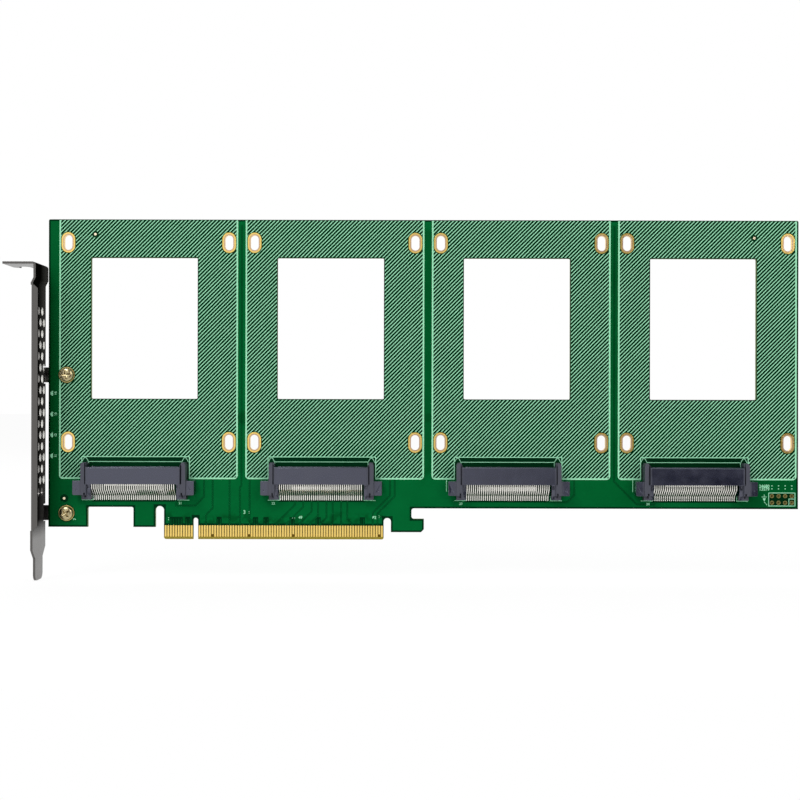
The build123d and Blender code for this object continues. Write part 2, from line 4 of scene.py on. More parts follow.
import bmesh
import bpy
import numpy as np
from mathutils import Matrix, Vector
from mathutils.geometry import delaunay_2d_cdt


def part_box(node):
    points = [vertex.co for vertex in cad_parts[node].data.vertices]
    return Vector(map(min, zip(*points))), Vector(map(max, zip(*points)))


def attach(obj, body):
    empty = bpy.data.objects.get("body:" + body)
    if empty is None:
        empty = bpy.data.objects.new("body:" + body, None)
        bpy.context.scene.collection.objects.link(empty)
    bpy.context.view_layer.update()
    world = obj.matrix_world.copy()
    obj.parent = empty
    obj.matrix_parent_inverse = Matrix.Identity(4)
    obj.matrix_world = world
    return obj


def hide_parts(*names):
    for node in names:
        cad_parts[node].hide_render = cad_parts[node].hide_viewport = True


# Looks of the long adapter card. Shapes are worked out in millimetres in the card's own frame:
# across is X, up is Z, and out is the height above the board's face, on either side of it.

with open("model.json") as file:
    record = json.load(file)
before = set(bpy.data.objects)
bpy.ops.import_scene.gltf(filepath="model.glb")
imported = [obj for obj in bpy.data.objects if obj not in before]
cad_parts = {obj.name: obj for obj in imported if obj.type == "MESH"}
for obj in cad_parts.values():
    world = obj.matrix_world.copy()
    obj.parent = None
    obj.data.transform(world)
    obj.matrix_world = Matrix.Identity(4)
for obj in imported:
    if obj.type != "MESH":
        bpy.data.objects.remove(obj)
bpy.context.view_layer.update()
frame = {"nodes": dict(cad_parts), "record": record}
mm = 0.001


def corners(node):
    """Lowest and highest corner of a CAD node, in millimetres."""
    low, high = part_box(node)
    return np.array(low) / mm, np.array(high) / mm


def middle_of(node):
    """Across and up of the middle of a CAD node, in millimetres."""
    low, high = corners(node)
    return (low[0] + high[0]) / 2, (low[2] + high[2]) / 2


# Places read from the frame
bay_numbers = (1, 2, 3, 4)
board_low, board_high = corners("board")
half_board = board_high[1]
board_left, board_right, board_top = board_low[0], board_high[0], board_high[2]
bays = [corners(f"bay_{number}_print") for number in bay_numbers]
bay_centres = [middle_of(f"bay_{number}_print")[0] for number in bay_numbers]
socket_centres = [middle_of(f"socket_{number}_body")[0] for number in bay_numbers]
edge_low, edge_high = corners("edge_contacts_front")
header_low, header_high = corners("header_plating")
pads_low, pads_high = corners("screw_hole_plating")
slot_low, slot_high = corners("bay_1_slot_plating")
bracket_low, bracket_high = corners("io_bracket")
first_disc = corners("alignment_discs")[0]
screw_places = [middle_of("bracket_screw_lower"), middle_of("bracket_screw_upper")]

# Lower outline of the board
lower_edge, foot_bottom = 12.0, 4.65
first_foot, foot_gap = 15.1, 17.55
slot_gap, latch_gap = 3.3, 2.8
hook_neck, hook_width, hook_low, hook_high = 7.9, 12.65, 2.86, 7.97

# Contacts of the card edge
contact_pitch, key_to_contact, contacts_before_key = 1.0, 1.5, 11
card_left, card_right = edge_low[0] - 0.3, edge_high[0] + 0.3
contact_top, paler_tip, bevel_top = 5.35, 2.2, 0.97

# Laid copper under the mask
relief, pour_margin = 0.014, 0.7
trace_width, trace_gap, channel_side = 0.16, 0.14, 0.12

# Slots, pads, disc, windows and header of the board
land_width, land_length = 5.2, 7.8
slot_width, slot_length, rim_width = 3.2, 5.8, 0.42
drive_hole_across = (slot_high[0] - slot_low[0] - land_width) / 2
slot_spots = [
    (centre + side * drive_hole_across, rise) for centre in bay_centres for side in (-1, 1)
    for rise in (slot_low[2] + land_length / 2, slot_high[2] - land_length / 2)
]
screw_pad = (pads_high[0] - pads_low[0]) / 2
disc_radius, disc_clearing = 0.5, 1.6
window_offset, window_half, window_low, window_high = -1.6, 20.4, 53.9, 108.0
header_pitch = 2.54
header_pad = header_high[2] - header_low[2] - header_pitch

# Room that the bracket's vents take, between the plate's two faces
plate_inner, sheet = board_left - 2.25, 0.86
vents_low = (plate_inner - sheet, bracket_high[1] - 16.7, 21.0)
vents_high = (plate_inner + 0.02, bracket_high[1] - 1.0, 93.2)

# Leads and guide posts of the sockets
lead_pitch, lead_width, lead_thickness = 0.8, 0.3, 0.2
body_bottom, post_place = 21.4, 19.0

# Height of the ink, and how much the print's strokes are thickened
ink_out, stroke_width, stroke_growth = 0.03, 0.22, 0.04

# Colours that are set plainly
white, black = (1.0, 1.0, 1.0, 1.0), (0.0, 0.0, 0.0, 1.0)


# Mesh building
def grid_faces(rows, columns, ring=False):
    """Four-sided faces between the points of a grid; with ring the last column joins the first."""
    number = np.arange(rows * columns).reshape(rows, columns)
    if ring:
        number = np.hstack([number, number[:, :1]])
    near, far = number[:-1], number[1:]
    return np.stack([near[:, :-1], near[:, 1:], far[:, 1:], far[:, :-1]], -1).reshape(-1, 4)


def repeated(points, faces, places):
    """The same shape at many places: each copy's points are the shape's points plus its place."""
    points, faces, places = np.asarray(points), np.asarray(faces), np.asarray(places, float)
    copies = (places[:, None] + points).reshape(-1, 3)
    starts = np.arange(len(places))[:, None, None] * len(points)
    return copies, (starts + faces).reshape(-1, faces.shape[1])


def together(*shapes):
    """Several shapes as one: each shape's faces are counted on from the points before it."""
    points, faces, start = [], [], 0
    for own_points, own_faces in shapes:
        points.append(np.asarray(own_points, float))
        faces += [[start + number for number in face] for face in np.asarray(own_faces).tolist()]
        start += len(own_points)
    return np.vstack(points), faces


def on_board(points, side):
    """Turns across, up and out into X, Y and Z, on the component side (-1) or the solder side (1)."""
    points = np.asarray(points, float)
    return np.stack([points[:, 0], side * (half_board + points[:, 2]), points[:, 1]], 1)


def volume(points, faces):
    """Signed volume of a closed shell: the sum over its triangles of a . (b x c) / 6."""
    total = 0.0
    for size in sorted({len(face) for face in faces}):
        rows = np.array([face for face in faces if len(face) == size])
        for step in range(1, size - 1):
            first, second, third = points[rows[:, 0]], points[rows[:, step]], points[rows[:, step + 1]]
            total += np.einsum("ij,ij->", first, np.cross(second, third)) / 6
    return total


def placed(name, data):
    """A new object of the scene that holds a mesh, a lamp or a camera."""
    thing = bpy.data.objects.new(name, data)
    bpy.context.scene.collection.objects.link(thing)
    return thing


def dress(thing, slot_name, node=None, finish=None):
    """Gives a piece the finish of its slot or a given finish, and lets it ride on the card in place of a
    node.
    """
    thing.data.materials.clear()
    thing.data.materials.append(finish or finishes[slot_name])
    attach(thing, "root")
    if node:
        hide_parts(node)
    return thing


def piece(name, shape, slot_name, side, smooth=None, node=None, finish=None):
    """One finished piece with its faces outwards, shaded smooth up to an angle in degrees."""
    points, faces = shape
    faces = faces if isinstance(faces, list) else faces.tolist()
    points = on_board(points, side)
    if volume(points, faces) < 0:
        faces = [face[::-1] for face in faces]
    mesh = bpy.data.meshes.new(name)
    mesh.from_pydata((points * mm).tolist(), [], faces)
    mesh.update()
    if smooth:
        mesh.shade_smooth()
        mesh.set_sharp_from_angle(angle=math.radians(smooth))
    return dress(placed(name, mesh), slot_name, node, finish)


def full_turn(count):
    """Angles spread evenly over a full turn."""
    return np.linspace(0, 2 * math.pi, count, endpoint=False)


def spun(radii, heights, count):
    """A turned surface: each ring's points are its radius times cosine and sine, at its height."""
    turn = full_turn(count)
    points = np.empty((len(radii), count, 3))
    points[..., 0] = np.outer(radii, np.cos(turn))
    points[..., 1] = np.outer(radii, np.sin(turn))
    points[..., 2] = np.array(heights)[:, None]
    return points.reshape(-1, 3), grid_faces(len(radii), count, ring=True)


def rounded(path, radii, steps=4):
    """A path with its inner corners rounded. The arc at a corner touches both runs, its centre is
    radius / cos(turn / 2) from the corner, and its points are spread evenly over the turn."""
    path = [np.array(point, float) for point in path]
    out = [path[0]]
    for before, corner, after, radius in zip(path, path[1:], path[2:], radii):
        arriving = (corner - before) / np.linalg.norm(corner - before)
        leaving = (after - corner) / np.linalg.norm(after - corner)
        turn = math.acos(np.clip(arriving @ leaving, -1, 1))
        middle = leaving - arriving
        centre = corner + middle / np.linalg.norm(middle) * radius / math.cos(turn / 2)
        reach = radius * math.tan(turn / 2)
        start, end = corner - arriving * reach - centre, corner + leaving * reach - centre
        share = np.linspace(0, 1, steps + 1)[:, None]
        weight_start, weight_end = np.sin((1 - share) * turn), np.sin(share * turn)
        out += list(centre + (weight_start * start + weight_end * end) / math.sin(turn))
    out.append(path[-1])
    return np.array(out)


def bent_strip(path, width, thickness):
    """A flat strip along a path of out and up: the section at each point is a rectangle, half the
    width to each side across, and half the thickness to each side along the path's normal."""
    along = np.gradient(path, axis=0)
    along /= np.linalg.norm(along, axis=1)[:, None]
    normal = np.stack([-along[:, 1], along[:, 0]], 1)
    across = np.array([-0.5, 0.5, 0.5, -0.5]) * width
    offset = np.array([-0.5, -0.5, 0.5, 0.5]) * thickness
    points = np.empty((len(path), 4, 3))
    points[:, :, 0] = across
    points[:, :, 1] = path[:, 1, None] + normal[:, 1, None] * offset
    points[:, :, 2] = path[:, 0, None] + normal[:, 0, None] * offset
    last = 4 * len(path)
    ends = [[0, 1, 2, 3], [last - 1, last - 2, last - 3, last - 4]]
    return points.reshape(-1, 3), np.vstack([grid_faces(len(path), 4, ring=True), ends])


def rounded_block(low, high, radius, steps=2):
    """A box with round edges: a point is the corner of the inner box on its side, plus the radius
    times the direction given by a turn around and a rise from pole to pole."""
    low, high = np.array(low, float), np.array(high, float)
    quarter = np.linspace(0, math.pi / 2, steps + 1)
    around = np.concatenate([quarter + math.pi / 2 * number for number in range(4)])
    rise = np.concatenate([quarter - math.pi / 2, quarter])
    signs = np.repeat([(1, 1), (-1, 1), (-1, -1), (1, -1)], steps + 1, axis=0)
    level = np.repeat([-1, 1], steps + 1)
    middle, inner = (low + high) / 2, (high - low) / 2 - radius
    outwards = radius * np.stack([np.cos(around), np.sin(around)], -1)
    points = np.empty((len(rise), len(around), 3))
    points[..., :2] = middle[:2] + signs * inner[:2] + np.cos(rise)[:, None, None] * outwards
    points[..., 2] = (middle[2] + level * inner[2] + radius * np.sin(rise))[:, None]
    poles = np.arange(4) * (steps + 1)
    top = (len(rise) - 1) * len(around)
    caps = [poles[::-1], poles + top]
    return points.reshape(-1, 3), np.vstack([grid_faces(len(rise), len(around), ring=True), caps])


def counterclockwise(outline):
    """The outline, turned round if its signed area is negative."""
    outline = np.asarray(outline, float)
    after = np.roll(outline, -1, axis=0)
    area = np.sum(outline[:, 0] * after[:, 1] - outline[:, 1] * after[:, 0])
    return outline if area > 0 else outline[::-1]


def flat_layer(wanted, unwanted, restored, bottom, top):
    """A flat layer over the area that is in a wanted outline and in no unwanted one, or in a
    restored one. All outlines are cut into triangles that keep every edge; the triangles kept make
    the two faces, and each edge used by one of them alone gets a wall."""
    groups = [[counterclockwise(outline) for outline in group] for group in (wanted, unwanted, restored)]
    outlines = sum(groups, [])
    kinds = np.repeat([0, 1, 2], [len(group) for group in groups])
    ends = np.cumsum([len(outline) for outline in outlines]).tolist()
    loops = [list(range(end - len(outline), end)) for end, outline in zip(ends, outlines)]
    spots, _, triangles, _, _, holders = delaunay_2d_cdt(
        [tuple(spot) for spot in np.vstack(outlines)], [], loops, 1, 1e-5
    )
    held = [{kinds[number] for number in held_by} for held_by in holders]
    keep = np.array([
        triangle for triangle, own in zip(triangles, held) if 2 in own or (0 in own and 1 not in own)
    ])
    spots = np.array([tuple(spot) for spot in spots])
    count = len(spots)
    sides = np.vstack([keep[:, [0, 1]], keep[:, [1, 2]], keep[:, [2, 0]]])
    forward = sides[:, 0] * count + sides[:, 1]
    backward = sides[:, 1] * count + sides[:, 0]
    rim = sides[~np.isin(forward, backward)]
    walls = np.stack([rim[:, 0], rim[:, 0] + count, rim[:, 1] + count, rim[:, 1]], 1)
    points = np.vstack([
        np.column_stack([spots, np.full(count, top)]),
        np.column_stack([spots, np.full(count, bottom)]),
    ])
    return points, keep.tolist() + (keep[:, ::-1] + count).tolist() + walls.tolist()


def rectangle(left, right, bottom, top):
    """The four corners of an upright rectangle."""
    return np.array([(left, bottom), (right, bottom), (right, top), (left, top)], float)


def circle(across, up, radius, count=20):
    """Points spread evenly round a circle."""
    turn = full_turn(count)
    return np.column_stack([across + radius * np.cos(turn), up + radius * np.sin(turn)])


def upright_slot(across, up, width, length, count=10):
    """A slot with round ends: half circles about the two ends of its straight part."""
    turn = np.linspace(0, math.pi, count)
    rise = (length - width) / 2
    upper = np.column_stack([np.cos(turn), np.sin(turn)]) * width / 2 + (across, up + rise)
    lower = np.column_stack([-np.cos(turn), -np.sin(turn)]) * width / 2 + (across, up - rise)
    return np.vstack([upper, lower])


def beside(path, distance):
    """A path moved sideways: each inner corner moves along the bisector of its runs, by the distance
    over the cosine of half its turn."""
    path = np.asarray(path, float)
    runs = np.diff(path, axis=0)
    runs /= np.linalg.norm(runs, axis=1)[:, None]
    normals = np.column_stack([-runs[:, 1], runs[:, 0]])
    before, after = np.vstack([normals[:1], normals]), np.vstack([normals, normals[-1:]])
    bisector = before + after
    length = np.sum(bisector * before, axis=1)[:, None]
    return path + bisector / length * distance


def band(path, width):
    """The outline of a line of constant width along a path."""
    return np.vstack([beside(path, width / 2), beside(path, -width / 2)[::-1]])


# Node building
def fill(node, sockets):
    """Fills a node's inputs: the output of another node is linked, and any other value is set."""
    for socket, value in dict(sockets).items():
        if isinstance(value, bpy.types.NodeSocket):
            node.id_data.links.new(value, node.inputs[socket])
        else:
            node.inputs[socket].default_value = value
    return node


def put(tree, kind, sockets=(), **settings):
    """Adds a node with its settings and inputs."""
    made = tree.nodes.new(kind)
    for setting, value in settings.items():
        setattr(made, setting, value)
    return fill(made, sockets)


def follow(kind, sockets, output=0, **settings):
    """An output of a new node, which goes into the tree that its linked inputs come from."""
    linked = [value for value in sockets.values() if isinstance(value, bpy.types.NodeSocket)]
    return put(linked[0].id_data, kind, sockets, **settings).outputs[output]


def calc(operation, first, second=0.0, clamp=False):
    """The result of a math node."""
    return follow("ShaderNodeMath", {0: first, 1: second}, operation=operation, use_clamp=clamp)


def product(*factors):
    """All the factors multiplied."""
    total = factors[0]
    for factor in factors[1:]:
        total = calc("MULTIPLY", total, factor)
    return total


def blended(share, first, second, kind="MIX"):
    """The first colour where share is 0, and the second where it is 1."""
    return follow("ShaderNodeMix", {0: share, 6: first, 7: second}, 2, data_type="RGBA", blend_type=kind)


def spread(value, low, high, to_low, to_high):
    """Low to high becomes to_low to to_high."""
    return follow("ShaderNodeMapRange", {0: value, 1: low, 2: high, 3: to_low, 4: to_high}, clamp=True)


def mottled(value, to_low, to_high):
    """The middle range of a noise, spread from to_low to to_high."""
    return spread(value, 0.3, 0.7, to_low, to_high)


def between(value, low, high, soft):
    """1 between two places in millimetres and 0 outside, with ramps of half width soft."""
    rising = spread(value, (low - soft) * mm, (low + soft) * mm, 0.0, 1.0)
    return product(rising, spread(value, (high - soft) * mm, (high + soft) * mm, 1.0, 0.0))


def within(value, low, high):
    """1 between two places in millimetres and 0 outside, without ramps."""
    return product(calc("GREATER_THAN", value, low * mm), calc("LESS_THAN", value, high * mm))


def noise(vector, scale, detail):
    """Noise from 0 to 1."""
    return follow("ShaderNodeTexNoise", {"Vector": vector, "Scale": scale, "Detail": detail}, "Fac")


def place_in(tree, kind="Object"):
    """A texture coordinate as a vector, and its X, Y and Z."""
    vector = put(tree, "ShaderNodeTexCoord").outputs[kind]
    return vector, put(tree, "ShaderNodeSeparateXYZ", {0: vector}).outputs


def shared(name, build, **inputs):
    """A node group: build is given its tree and float inputs, and gives its outputs by name."""
    tree = bpy.data.node_groups.new(name, "ShaderNodeTree")
    for label, value in inputs.items():
        made = tree.interface.new_socket(label, in_out="INPUT", socket_type="NodeSocketFloat")
        made.default_value = value
    results = build(tree, tree.nodes.new("NodeGroupInput").outputs)
    for label in results:
        kind = "NodeSocketVector" if label == "Normal" else "NodeSocketFloat"
        tree.interface.new_socket(label, in_out="OUTPUT", socket_type=kind)
    fill(tree.nodes.new("NodeGroupOutput"), results)
    return tree


def grain_values(tree, given):
    """Fine speckle and larger patches, both from noise on Object coordinates."""
    vector = place_in(tree)[0]
    return {"Speckle": noise(vector, given["Fine"], 2.0), "Patch": noise(vector, given["Broad"], 4.0)}


def streak_values(tree, given):
    """Rolling or brushing marks: noise that is stretched along one axis, up or across."""
    scale = put(tree, "ShaderNodeCombineXYZ", {0: given["Across"], 1: given["Across"], 2: given["Up"]})
    places = {0: place_in(tree)[0], 1: scale.outputs[0]}
    return {"Streak": noise(follow("ShaderNodeVectorMath", places, operation="MULTIPLY"), 1.0, 3.0)}


def edge_values(tree, given):
    """A normal that is rounded over edges, and a mask that is 1 where it turns from the face's."""
    soft = follow("ShaderNodeBevel", {"Radius": given["Width"]}, samples=4)
    own = put(tree, "ShaderNodeNewGeometry").outputs["Normal"]
    same = follow("ShaderNodeVectorMath", {0: soft, 1: own}, "Value", operation="DOT_PRODUCT")
    return {"Mask": spread(same, 0.99, 0.8, 0.0, 1.0), "Normal": soft}


def weave_values(tree, given):
    """Glass cloth: the product of two crossed sets of sine bands on Object X and Z."""
    spot = place_in(tree)[1]
    waves = [
        calc("SINE", product(calc("DIVIDE", spot[axis], given["Pitch"]), 2 * math.pi)) for axis in (0, 2)
    ]
    return {"Height": spread(product(*waves), -1.0, 1.0, 0.0, 1.0)}


# Dark areas of the green: left, right, bottom, top and how dark
shaded_areas = (
    (-2.0, 92.0, 44.5, 50.0, 0.9),
    (40.0, 82.0, 38.0, 46.0, 0.4),
    (146.0, 160.0, 26.0, 108.0, 0.3),
    (100.0, 214.0, 44.0, 51.0, 0.45),
    (14.0, 20.0, 24.0, 120.0, 0.25),
    (86.0, 92.0, 24.0, 120.0, 0.6),
    (157.0, 164.0, 24.0, 120.0, 0.5),
    (146.0, 204.0, 8.0, 24.0, 0.12),
    (204.0, 234.0, 8.0, 24.0, 0.5),
)
blotched_area = (-13.0, 72.0, 5.4, 9.6, 0.75)


def shade_values(tree, given):
    """Painted shade on the green: a painted shadow of the bracket beside it, deeper towards the bottom,
    and darker listed areas. The area over the contacts is broken into blotches, and the solder side
    takes less."""
    vector, spot = place_in(tree)
    wobble = product(calc("SUBTRACT", noise(vector, 70.0, 3.0), 0.5), 0.012)
    across, rise = calc("ADD", spot[0], wobble), calc("ADD", spot[2], wobble)
    blotches = spread(noise(vector, 420.0, 2.0), 0.46, 0.6, 0.0, 1.0)
    # Painted shadow of the bracket on the green beside it, deeper towards the bottom
    near, far = board_left + 1.0, board_left + 13.0
    bracket_shadow = spread(spot[0], near * mm, far * mm, 1.0, 0.0)
    low_down = spread(spot[2], 118.0 * mm, 80.0 * mm, 0.25, 0.9)
    total = product(bracket_shadow, low_down)
    for area in (*shaded_areas, blotched_area):
        left, right, bottom, top, depth = area
        shade = product(between(across, left, right, 1.5), between(rise, bottom, top, 1.2), depth)
        if area is blotched_area:
            shade = product(shade, blotches)
        total = calc("MAXIMUM", total, shade)
    total = product(total, spread(spot[1], -0.5 * mm, 0.5 * mm, 1.0, 0.3))
    return {"Shade": calc("MULTIPLY", total, given["Depth"], clamp=True)}


def post_shade_values(tree, given):
    """How near a point is to a socket's guide posts, across, as the mask of the painted shade there: the
    distance from the socket's middle repeats with the bays' pitch, and the mask falls off to both sides
    of a post."""
    pitch = socket_centres[1] - socket_centres[0]
    start = calc("SUBTRACT", place_in(tree)[1][0], (socket_centres[0] - pitch / 2) * mm)
    share = calc("MODULO", start, pitch * mm)
    from_middle = calc("ABSOLUTE", calc("SUBTRACT", share, pitch / 2 * mm))
    away = calc("ABSOLUTE", calc("SUBTRACT", from_middle, post_place * mm))
    away = calc("DIVIDE", away, product(given["Half"], mm))
    return {"Shade": spread(away, 0.4, 1.0, 1.0, 0.0)}


grain = shared("grain", grain_values, Fine=4000.0, Broad=60.0)
streaks = shared("streaks", streak_values, Across=3000.0, Up=60.0)
edges = shared("edges", edge_values, Width=0.0001)
weave = shared("weave", weave_values, Pitch=0.0004)
painted_shadow_and_dark_areas = shared("painted_shadow_and_dark_areas", shade_values, Depth=1.0)
painted_post_shade = shared("painted_post_shade", post_shade_values, Half=1.9)


# Materials
def new_material(name):
    """A material with its Principled shader, and the tree to build in."""
    material = bpy.data.materials.new(name)
    material.use_nodes = True
    tree = material.node_tree
    return material, tree, tree.nodes["Principled BSDF"]


def use(tree, group, **values):
    """Places a node group with its own values and gives its outputs."""
    return put(tree, "ShaderNodeGroup", values, node_tree=group).outputs


def bump(height, distance, normal=None):
    """The output of a bump node over a distance in metres."""
    own = {"Normal": normal} if normal else {}
    return follow("ShaderNodeBump", {"Height": height, "Distance": distance, **own})


def linear(red, green, blue):
    """A colour from 0 to 255 as the shader's linear values, by the sRGB curve."""
    values = np.array([red, green, blue]) / 255
    curve = np.where(values <= 0.04045, values / 12.92, ((values + 0.055) / 1.055) ** 2.4)
    return (*curve.tolist(), 1.0)


def mask_material(name, shade, light, bare):
    """Solder mask: a green between two shades in broad patches, whose gloss is tinted green. With
    bare, the cut sides and the card edge show the laminate instead."""
    material, tree, shader = new_material(name)
    spots = use(tree, grain, Fine=2500.0, Broad=45.0)
    cloth = use(tree, weave, Pitch=0.00045)["Height"]
    colour = blended(mottled(spots["Patch"], 0.0, 1.0), linear(*shade), linear(*light))
    rough = mottled(spots["Patch"], 0.26, 0.36)
    if bare:
        spot, facing = place_in(tree)[1], place_in(tree, "Normal")[1]
        cut_side = calc("LESS_THAN", calc("ABSOLUTE", facing[1]), 0.5)
        inside = within(spot[0], card_left - 0.1, card_right + 0.1)
        low, tip, bevel = (
            calc("LESS_THAN", spot[2], rise * mm) for rise in (contact_top, paler_tip, bevel_top)
        )
        fibre = blended(cloth, linear(26, 16, 0), linear(44, 30, 3))
        fibre = blended(tip, fibre, linear(92, 66, 14))
        side = blended(spots["Speckle"], linear(70, 92, 42), linear(112, 124, 66))
        ground_down = blended(spots["Speckle"], linear(132, 114, 36), linear(146, 128, 48))
        laminate = blended(cut_side, fibre, side)
        laminate = blended(product(bevel, inside), laminate, ground_down)
        raw = calc("MAXIMUM", cut_side, product(low, inside))
        colour = blended(raw, colour, laminate)
        rough = blended(raw, rough, (0.55, 0.55, 0.55, 1.0))
    # The painted bracket shadow and the darker listed areas tint the green
    darker = blended(use(tree, painted_shadow_and_dark_areas)["Shade"], white, (0.34, 0.5, 0.4, 1.0))
    uneven = calc("ADD", product(spots["Speckle"], 0.5), product(cloth, 0.25))
    fill(shader, {
        "Base Color": blended(1.0, colour, darker, "MULTIPLY"),
        "Roughness": rough,
        "Specular IOR Level": 0.5,
        "Specular Tint": (0.02, 0.38, 0.14, 1.0),
        "Normal": bump(uneven, 0.000006),
    })
    return material


def ink_material():
    """Screen printed ink: pale green white, thinner in small spots, so that the mask shows through."""
    material, tree, shader = new_material("screen_ink")
    spots = use(tree, grain, Fine=5200.0, Broad=180.0)
    full = blended(spots["Patch"], linear(138, 205, 165), linear(152, 214, 177))
    thin = spread(spots["Speckle"], 0.30, 0.52, 0.0, 1.0)
    fill(shader, {
        "Base Color": blended(thin, linear(116, 180, 142), full),
        "Roughness": mottled(spots["Speckle"], 0.5, 0.7),
        "Specular IOR Level": 0.2,
        "Normal": bump(spots["Speckle"], 0.00001),
    })
    return material


def metal_material(
    name, shade, light, rough, edge_shine=0.3, edge_width=0.00004, scale=(300.0, 1200.0), painted_dark_reflection=None
):
    """A metal with fine marks along one axis, smudges and brighter edges. Given a dark colour, the faces
    turned to +X are matt and painted that colour as a painted reflection of shade, paler to the back,
    and the vents' cut walls are painted pale as painted light."""
    material, tree, shader = new_material(name)
    light = linear(*light)
    spots = use(tree, grain, Fine=2500.0, Broad=120.0)
    marks = use(tree, streaks, Across=scale[0], Up=scale[1])["Streak"]
    rim = use(tree, edges, Width=edge_width)
    brighter = tuple(min(1.0, 1.25 * value) for value in light)
    colour = blended(marks, linear(*shade), light)
    colour = blended(product(rim["Mask"], edge_shine), colour, brighter)
    metallic = 1.0
    if painted_dark_reflection:
        # Painted reflection of shade: the inner face above the bottom is matt and painted dark, paler to
        # the back
        spot, facing = place_in(tree)[1], place_in(tree, "Normal")[1][0]
        upwards = spread(spot[2], 1.0 * mm, 8.0 * mm, 0.0, 1.0)
        inner = product(calc("GREATER_THAN", facing, 0.5), upwards)
        pale = spread(spot[1], -7.5 * mm, 3.0 * mm, 0.0, 0.42)
        colour = blended(inner, colour, blended(pale, linear(*painted_dark_reflection), colour))
        # The vents' cut walls are painted near white, painted light
        wall = calc("LESS_THAN", calc("ABSOLUTE", facing), 0.5)
        for axis in range(3):
            wall = product(wall, within(spot[axis], vents_low[axis], vents_high[axis]))
        painted_vent_light = spread(spot[1], -6.0 * mm, -1.0 * mm, 0.12, 0.85)
        colour = blended(product(wall, painted_vent_light), colour, linear(228, 227, 222))
        metallic = calc("SUBTRACT", 1.0, calc("MAXIMUM", inner, wall))
        fill(shader, {"Specular IOR Level": 0.0})
    mixed = calc("ADD", product(spots["Patch"], 0.6), product(marks, 0.4))
    fill(shader, {
        "Base Color": colour,
        "Metallic": metallic,
        "Roughness": mottled(mixed, *rough),
        "Normal": bump(marks, 0.000004, rim["Normal"]),
    })
    return material


def moulded_material(name, shade, light, edge, rough, depth, edge_width, paint_post_shade=False, own=()):
    """A moulded plastic: two close shades, a fine grain and paler edges, part wear and part painted
    highlight. When asked, it is painted darker round the sockets' guide posts as painted shade, and is
    duller there. Own values go to the shader."""
    material, tree, shader = new_material(name)
    spots = use(tree, grain, Fine=6500.0, Broad=220.0)
    rim = use(tree, edges, Width=edge_width)
    colour = blended(spots["Patch"], linear(*shade), linear(*light))
    # Paler edges: part wear, part painted highlight
    worn_and_highlit_edges = product(rim["Mask"], mottled(spots["Speckle"], 0.3, 0.8))
    colour = blended(worn_and_highlit_edges, colour, linear(*edge))
    dullness = mottled(spots["Patch"], rough, rough + 0.12)
    if paint_post_shade:
        # Painted shade round the guide posts, which are also rougher there
        shadow = use(tree, painted_post_shade)["Shade"]
        colour = blended(shadow, colour, blended(0.75, colour, black))
        dullness = calc("ADD", dullness, product(shadow, 0.4), clamp=True)
    grained = bump(spots["Speckle"], depth, rim["Normal"])
    fill(shader, {"Base Color": colour, "Roughness": dullness, "Normal": grained, **dict(own)})
    return material


def lens_material():
    """Clear moulded lens over a pale base, slightly cloudy."""
    material, tree, shader = new_material("light_lens")
    spots = use(tree, grain, Fine=3000.0, Broad=900.0)
    fill(shader, {
        "Base Color": blended(spots["Patch"], linear(196, 214, 190), linear(226, 236, 214)),
        "Roughness": mottled(spots["Patch"], 0.08, 0.2),
        "Transmission Weight": 0.35,
        "IOR": 1.5,
        "Normal": bump(spots["Speckle"], 0.000003),
    })
    return material


# Metals: two shades, roughness from and to, shine and width of the edges, scale of the marks, and
# the colour of a painted dark reflection
metals = {
    name: metal_material(name, *values) for name, *values in (
        ("contact_gold", (236, 198, 104), (250, 220, 128), (0.2, 0.3), 0.05),
        ("slot_rim", (196, 160, 128), (212, 178, 146), (0.28, 0.4)),
        ("worn_gold", (128, 124, 70), (150, 144, 90), (0.28, 0.4)),
        ("ring_gold", (176, 158, 98), (196, 178, 118), (0.24, 0.36)),
        ("pale_gold", (246, 226, 190), (252, 238, 208), (0.25, 0.35)),
        ("dull_solder", (66, 58, 28), (88, 78, 44), (0.35, 0.5), 0.2, 0.00004, (2600.0, 2600.0)),
        ("tinned_lead", (236, 234, 226), (250, 248, 242), (0.16, 0.30), 0.5, 0.00003, (3200.0, 500.0)),
        # The bracket's inner face takes a painted dark reflection of the last colour
        ("bracket_steel", (94, 92, 90), (100, 98, 96), (0.24, 0.32), 0.7, 0.00012, (3800.0, 60.0),
         (7, 6, 5)),
        ("screw_nickel", (168, 154, 116), (198, 184, 144), (0.18, 0.32), 0.6, 0.00006, (2600.0, 2600.0)),
    )
}
copper_mask = mask_material("mask_on_copper", (1, 78, 34), (2, 86, 40), bare=False)
clear_gloss = {"Specular IOR Level": 1.0, "Specular Tint": (0.8, 0.82, 1.0, 1.0), "IOR": 1.62}

